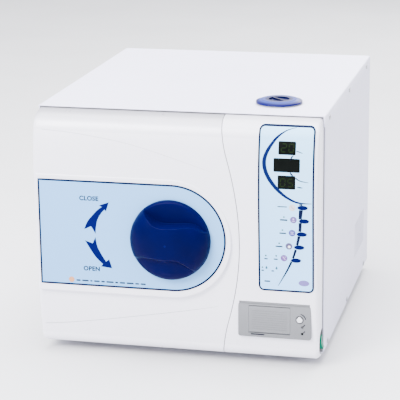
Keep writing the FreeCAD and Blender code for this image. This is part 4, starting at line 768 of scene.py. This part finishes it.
# Printed lines of the panel as (x, z, width), from the top down.
CRESCENT = [(186.0, 380.4, 0.4), (177.5, 378.4, 0.9), (168.6, 374.6, 1.6), (157.6, 366.0, 3.2),
            (147.7, 352.7, 4.2), (141.5, 340.3, 4.9), (139.3, 328.9, 5.3), (141.4, 316.3, 5.2),
            (147.7, 303.3, 5.2), (157.7, 290.5, 4.8), (168.0, 281.0, 3.9), (178.0, 274.6, 3.2),
            (186.1, 271.0, 2.7), (194.0, 269.2, 2.2), (202.0, 268.9, 1.4), (211.3, 269.1, 0.6)]
STEM = [(195.0, 267.6, 3.6), (195.3, 258.4, 4.8), (194.3, 244.9, 4.1), (193.7, 226.2, 3.6),
        (189.5, 203.9, 3.2), (183.2, 182.5, 2.7), (175.3, 164.1, 2.1), (167.5, 149.5, 1.4),
        (160.2, 136.4, 0.5)]
TICKS = [[(178.9, 334.0, 0.5), (180.7, 338.2, 1.5), (183.4, 341.0, 0.6)],
         [(187.0, 347.2, 0.4), (190.0, 346.9, 1.0), (196.8, 344.6, 0.5)],
         [(178.7, 315.6, 0.6), (180.4, 312.6, 1.8), (183.0, 310.9, 0.7)],
         [(187.0, 307.4, 1.3), (191.0, 304.4, 1.0), (196.4, 302.5, 0.9), (206.4, 301.2, 0.4)],
         [(189.0, 293.6, 0.4), (193.4, 293.2, 1.2), (197.8, 292.8, 0.4)]]
bm = bmesh.new()
strip(bm, heavier(smooth_line(CRESCENT, 6), 1.15), on_panel, 0.00014)
finish_piece(bm, "panel_crescent", ink("crescent_blue", (0.002, 0.006, 0.055)), "cabinet",
             smooth=False)

# Middles and half widths of the oval keys.
KEYS = ((197.8, 262.0), (199.9, 241.2), (196.5, 220.4), (192.5, 199.4), (187.5, 178.3))
KEY_A, KEY_B = 8.1, 3.75


def stem_clear_of_keys():
    """The stem runs up to the rim of each oval key and starts again below it."""
    runs, run = [], []
    for x, z, w in heavier(smooth_line(STEM, 24), 1.25):
        if any(math.hypot((x - kx) / KEY_A, (z - kz) / KEY_B) < 1 for kx, kz in KEYS):
            if len(run) > 1:
                runs.append(run)
            run = []
        else:
            run.append((x, z, w))
    if len(run) > 1:
        runs.append(run)
    return runs


bm = bmesh.new()
ticks = [heavier(smooth_line(t, 5), 1.5) for t in TICKS]
for run in stem_clear_of_keys() + ticks:
    strip(bm, run, on_panel, 0.00016)
finish_piece(bm, "panel_stem", BORDER_INK, "cabinet", smooth=False)

# Place, disc colour and mark colour of each icon.
ICONS = ((182.3, 261.6, (0.86, 0.84, 0.90), (0.30, 0.26, 0.36)),
         (183.9, 242.6, (0.20, 0.14, 0.42), (0.42, 0.34, 0.62)),
         (181.9, 221.8, (0.10, 0.10, 0.40), (0.32, 0.32, 0.62)),
         (177.0, 200.6, (0.13, 0.11, 0.24), (0.86, 0.86, 0.92)),
         (169.3, 181.2, (0.22, 0.12, 0.42), (0.45, 0.32, 0.62)))
ICON_R = 5.1


def icon_marks(x, z):
    """Plain marks of the five icons, from the top one down."""
    return ([[(x - 2.6, z + 2.2), (x - 1.9, z + 2.9), (x + 2.6, z - 2.2), (x + 1.9, z - 2.9)]],
            [disc(x, z + 1.2, 1.3), bar(x - 2.4, x + 2.4, z - 1.9, 1.1)],
            [bar(x - 2.9, x + 2.9, z + 1.6, 1.0), bar(x - 2.9, x + 2.9, z - 1.6, 1.0),
             disc(x, z, 0.9)],
            [disc(x + 0.4, z - 0.9, 2.0)],
            [[(x - 2.4, z + 2.2), (x - 1.4, z + 2.8), (x + 2.4, z - 2.2), (x + 1.4, z - 2.8)],
             disc(x + 1.9, z + 1.9, 0.8)])


for i, (x, z, base, mark) in enumerate(ICONS, 1):
    print_on("icon_%d" % i, [disc(x, z, ICON_R)], on_panel,
             ink("icon_%d" % i, shade(base, ICON_TONE)), "cabinet")
    print_on("icon_mark_%d" % i, icon_marks(x, z)[i - 1], on_panel,
             ink("icon_mark_%d" % i, mark), "cabinet", 0.0002)

# Short words of the panel as plain bars: left end, right end, height of the middle, thickness.
bars = [(159.8, 174.5, 262.4, 1.1), (163.4, 175.1, 241.8, 1.7), (162.4, 173.1, 220.8, 1.5),
        (156.3, 167.3, 199.5, 1.5), (138.9, 144.5, 178.6, 1.3), (153.3, 159.9, 178.7, 1.4),
        (134.4, 138.4, 159.7, 1.5), (149.7, 154.0, 159.6, 1.5), (138.8, 148.1, 142.7, 1.6)]
print_on("panel_text_bars", [bar(x0, x1, z, 1.3 * h) for x0, x1, z, h in bars], on_panel,
         TEXT_INK, "cabinet")
print_on("panel_lamps", [disc(x, z, 1.25) for x, z in (
    (169.6, 246.4), (167.3, 225.8), (162.0, 204.5), (141.5, 183.7), (136.1, 164.6),
    (157.4, 184.1))], on_panel, ink("lamp_green", (0.03, 0.12, 0.10), 0.25), "cabinet",
    0.0003)


def drop(x, z, s):
    """Water drop with its tip up."""
    out = []
    for i in range(24):
        a = math.radians(90 + 15 * i)
        r = s * (0.62 + 0.38 * max(0.0, math.sin(a)) ** 6 * 2.1)
        out.append((x + s * 0.66 * math.cos(a), z + r * math.sin(a)))
    return out


print_on("water_drops", [drop(142.3, 163.8, 2.5), drop(157.7, 163.8, 2.5)], on_panel,
         ink("drop_teal", (0.03, 0.10, 0.16)), "cabinet")
print_on("panel_seal", [disc(199.6, 142.6, 8.2, 4.6, 40)], on_panel,
         ink("seal_lilac", (0.15, 0.12, 0.34)), "cabinet")

# ---- display digits ---------------------------------------------------------------------------
on_window = trace("display_windows")
SEGMENTS = {"a": ((0, 2), (1, 2)), "b": ((1, 2), (1, 1)), "c": ((1, 1), (1, 0)),
            "d": ((0, 0), (1, 0)), "e": ((0, 1), (0, 0)), "f": ((0, 2), (0, 1)),
            "g": ((0, 1), (1, 1))}
LIT = {"0": "abcdef", "2": "abged", "5": "afgcd"}
DIGIT_W, DIGIT_H, DIGIT_PITCH = 7.0, 11.6, 11.2


def digit(shape, x, z, w, h):
    """Seven-segment figure as flat tapered bars, leaning slightly."""
    out = []
    for key in LIT[shape]:
        (ax, az), (bx, bz) = SEGMENTS[key]
        x0, z0 = x + ax * w, z + az * h / 2
        x1, z1 = x + bx * w, z + bz * h / 2
        dx, dz = x1 - x0, z1 - z0
        k = math.hypot(dx, dz)
        dx, dz = dx / k, dz / k
        g, t = 0.55, 0.62
        ring = [(x0 + dx * g, z0 + dz * g),
                (x0 + dx * (g + t) - dz * t, z0 + dz * (g + t) + dx * t),
                (x1 - dx * (g + t) - dz * t, z1 - dz * (g + t) + dx * t),
                (x1 - dx * g, z1 - dz * g),
                (x1 - dx * (g + t) + dz * t, z1 - dz * (g + t) - dx * t),
                (x0 + dx * (g + t) + dz * t, z0 + dz * (g + t) - dx * t)]
        out.append([(px + 0.08 * (pz - z), pz) for px, pz in ring])
    return out


figures = []
for text, x, z in (("20", 164.6, 345.6), ("05", 163.6, 293.6)):
    for k, ch in enumerate(text):
        figures += digit(ch, x + DIGIT_PITCH * k, z, DIGIT_W, DIGIT_H)
print_on("display_figures", figures, on_window, ink("figure_green", (0.007, 0.016, 0.004), 0.4),
         "cabinet", 0.00012)

# ---- printer marks ----------------------------------------------------------------------------
on_printer = trace("printer_housing")
ARC_R, RING_R = 9.2, 5.7
arc_line = [(BTN_X + ARC_R * math.cos(a), BTN_Z + ARC_R * math.sin(a), 1.4)
            for a in (math.radians(6 + 74 * i / 14) for i in range(15))]
bm = bmesh.new()
strip(bm, arc_line, on_printer, 0.00012)
finish_piece(bm, "release_arc", TEXT_INK, "cabinet", smooth=False)

button_ring = [(BTN_X + RING_R * math.cos(a), BTN_Z + RING_R * math.sin(a), 0.9)
               for a in (2 * math.pi * i / 40 for i in range(40))]
bm = bmesh.new()
strip(bm, button_ring, on_printer, 0.00012, closed=True)
for z in MARKS_Z:
    strip(bm, [(MARK_X - 0.8, z - 1.0, 1.4), (MARK_X + 0.6, z + 0.6, 2.2),
               (MARK_X + 2.0, z + 2.2, 1.4)], on_printer, 0.00014)
finish_piece(bm, "button_marks", ink("mark_grey", (0.03, 0.03, 0.035)), "cabinet",
             smooth=False)
print_on("printer_bar", [bar(117.0, 138.5, 55.2, 1.9)], on_printer, TEXT_INK, "cabinet")

# ---- painted shade lines along the creases of the door cover ----------------------------------
on_cover = trace("door_cover")
# Lower and upper crease as (x, z, width); grey strips of painted shade are laid along them.
CREASES = ([(-216.0, 46.6, 1.1), (-182.8, 50.2, 1.1), (-148.6, 55.3, 1.0), (-107.0, 62.1, 0.9),
            (-65.8, 69.6, 0.9), (0.8, 81.9, 0.8), (37.4, 89.3, 0.6), (66.0, 95.6, 0.3)],
           [(-208.3, 363.0, 1.2), (-153.5, 359.2, 1.2), (-88.6, 350.3, 1.1), (-45.7, 340.9, 1.0),
            (7.6, 325.6, 0.9), (62.0, 309.0, 0.4)])
# Painted shade: grey strips along the two creases, the lower one darker, stand in for the shading
# of the crease steps.
for i, (line, tone) in enumerate(zip(CREASES, ((0.42, 0.42, 0.48), (0.62, 0.61, 0.69))), 1):
    bm = bmesh.new()
    strip(bm, smooth_line(line, 12), on_cover, 0.00006)
    finish_piece(bm, "cover_crease_%d" % i, ink("crease_%d" % i, tone, 0.45), "door",
                 smooth=False)

# ---- dark strips of painted shadow in the seams -----------------------------------------------
# Painted shadow: matt near-black strips stand in for the shadow inside the seams.
SHADOW_STRIP = soft("seam_shadow", (0.03, 0.03, 0.034), 0.8)


def seam_x(z):
    """Middle of the gap between door and fascia: a wide arc that bends back at both ends."""
    far = abs(z - AX_Z)
    reach = math.asin(SEAM_TURN / SEAM_R)
    turn_x = SEAM_BULGE - SEAM_R * (1 - math.cos(reach))
    back_r = (turn_x - SEAM_X) / (1 - math.cos(reach))
    end = SEAM_TURN + back_r * math.sin(reach)
    if far <= SEAM_TURN:
        return SEAM_BULGE - SEAM_R + math.sqrt(SEAM_R ** 2 - far ** 2)
    if far < end:
        return SEAM_X + back_r - math.sqrt(back_r ** 2 - (end - far) ** 2)
    return SEAM_X


def seal(name, path, width, depth):
    """Square dark cord of painted shadow along a path of (x, y, z) points."""
    bm = bmesh.new()
    rows = []
    for x, y, z in path:
        rows.append([bm.verts.new(((x + a) * MM, (y + b) * MM, z * MM))
                     for a, b in ((0, 0), (width, 0), (width, depth), (0, depth))])
    for low, high in zip(rows, rows[1:]):
        for k in range(4):
            n = (k + 1) % 4
            bm.faces.new((low[k], low[n], high[n], high[k]))
    bm.faces.new(rows[0][::-1])
    bm.faces.new(rows[-1])
    bmesh.ops.recalc_face_normals(bm, faces=bm.faces)
    return finish_piece(bm, name, SHADOW_STRIP, "cabinet", smooth=False)


on_fascia = trace("right_fascia")
cuts = 120
seam_path = []
for i in range(cuts + 1):
    z = SEAM_LOW + i * (SEAM_HIGH - SEAM_LOW) / cuts
    seam_path.append((seam_x(z) - 0.45, on_fascia(seam_x(z) + 1.6, z) / MM + 0.5, z))
# Painted shadow: a dark cord set inside the gap between door and fascia.
seal("seam_shadow", seam_path, 1.1, 3.0)

# Painted shadow: a dark strip under the front lip of the casing, above the top of the fascia and
# door.
bm = bmesh.new()
lip_front, lip_back = FRONT - 4.1, FRONT - 0.3
low = [bm.verts.new((x * MM, y * MM, LIP_LOW * MM)) for x, y in
       ((-LIP_HALF, lip_front), (LIP_HALF, lip_front), (LIP_HALF, lip_back),
        (-LIP_HALF, lip_back))]
bm.faces.new(low)
ext = bmesh.ops.extrude_face_region(bm, geom=bm.faces[:])
for v in ext["geom"]:
    if isinstance(v, bmesh.types.BMVert):
        v.co.z = LIP_HIGH * MM
bmesh.ops.recalc_face_normals(bm, faces=bm.faces)
finish_piece(bm, "lip_shadow", SHADOW_STRIP, "cabinet", smooth=False)

# ---- studio -----------------------------------------------------------------------------------
bm = bmesh.new()
for i in range(13):
    for j in range(13):
        bm.verts.new((-6 + i, -6 + j, 0.0))
bm.verts.ensure_lookup_table()
for i in range(12):
    for j in range(12):
        a = i * 13 + j
        bm.faces.new((bm.verts[a], bm.verts[a + 13], bm.verts[a + 14], bm.verts[a + 1]))
floor_mesh = bpy.data.meshes.new("floor")
bm.to_mesh(floor_mesh)
bm.free()
floor = bpy.data.objects.new("floor", floor_mesh)
bpy.context.collection.objects.link(floor)
floor_mat = Mat("floor_paint", 0.7)
floor_mat.colour(floor_mat.ramp(floor_mat.noise(3.0), [(0.3, (0.66, 0.66, 0.67)),
                                                       (0.7, (0.70, 0.70, 0.71))]))
floor_mesh.materials.append(floor_mat.mat)

world = bpy.data.worlds.new("studio")
bpy.context.scene.world = world
world.use_nodes = True
world.node_tree.nodes["Background"].inputs["Color"].default_value = (0.93, 0.94, 1.0, 1.0)
world.node_tree.nodes["Background"].inputs["Strength"].default_value = 2.05


def softbox(name, place, aim, size, power, colour=(1, 1, 1)):
    light = bpy.data.lights.new(name, "AREA")
    light.shape = "RECTANGLE"
    light.size, light.size_y = size
    light.energy = power
    light.color = colour
    obj = bpy.data.objects.new(name, light)
    obj.location = place
    obj.rotation_euler = (Vector(aim) - Vector(place)).to_track_quat("-Z", "Y").to_euler()
    bpy.context.collection.objects.link(obj)


softbox("key_light", (-1.3, -2.6, 2.3), (0, 0, 0.2), (1.6, 1.6), 320.0)
softbox("top_light", (0.1, 0.1, 2.6), (0, 0, 0.3), (2.2, 2.2), 250.0, (0.96, 0.96, 1.0))
softbox("side_light", (2.6, -0.6, 1.4), (0, 0, 0.2), (1.4, 1.4), 8.0)
softbox("rear_light", (0.6, 2.8, 1.6), (0, 0, 0.2), (2.0, 1.6), 70.0)

# ---- camera -----------------------------------------------------------------------------------
CAM_AT = Vector((0.601949, -2.582635, 0.931192))
YAW, PITCH, ROLL = (math.radians(v) for v in (13.5518, 15.5358, -0.6781))
forward = Vector((-math.sin(YAW) * math.cos(PITCH), math.cos(YAW) * math.cos(PITCH),
                  -math.sin(PITCH)))
level = Vector((math.cos(YAW), math.sin(YAW), 0.0))
above = level.cross(forward)
right = level * math.cos(ROLL) + above * math.sin(ROLL)
up = above * math.cos(ROLL) - level * math.sin(ROLL)
camera_data = bpy.data.cameras.new("camera")
camera_data.lens = 148.5
camera_data.sensor_width = 36.0
camera_data.dof.use_dof = False
camera = bpy.data.objects.new("camera", camera_data)
turn = Matrix((right, up, -forward)).transposed().to_4x4()
camera.matrix_world = Matrix.Translation(CAM_AT) @ turn
bpy.context.collection.objects.link(camera)
bpy.context.scene.camera = camera
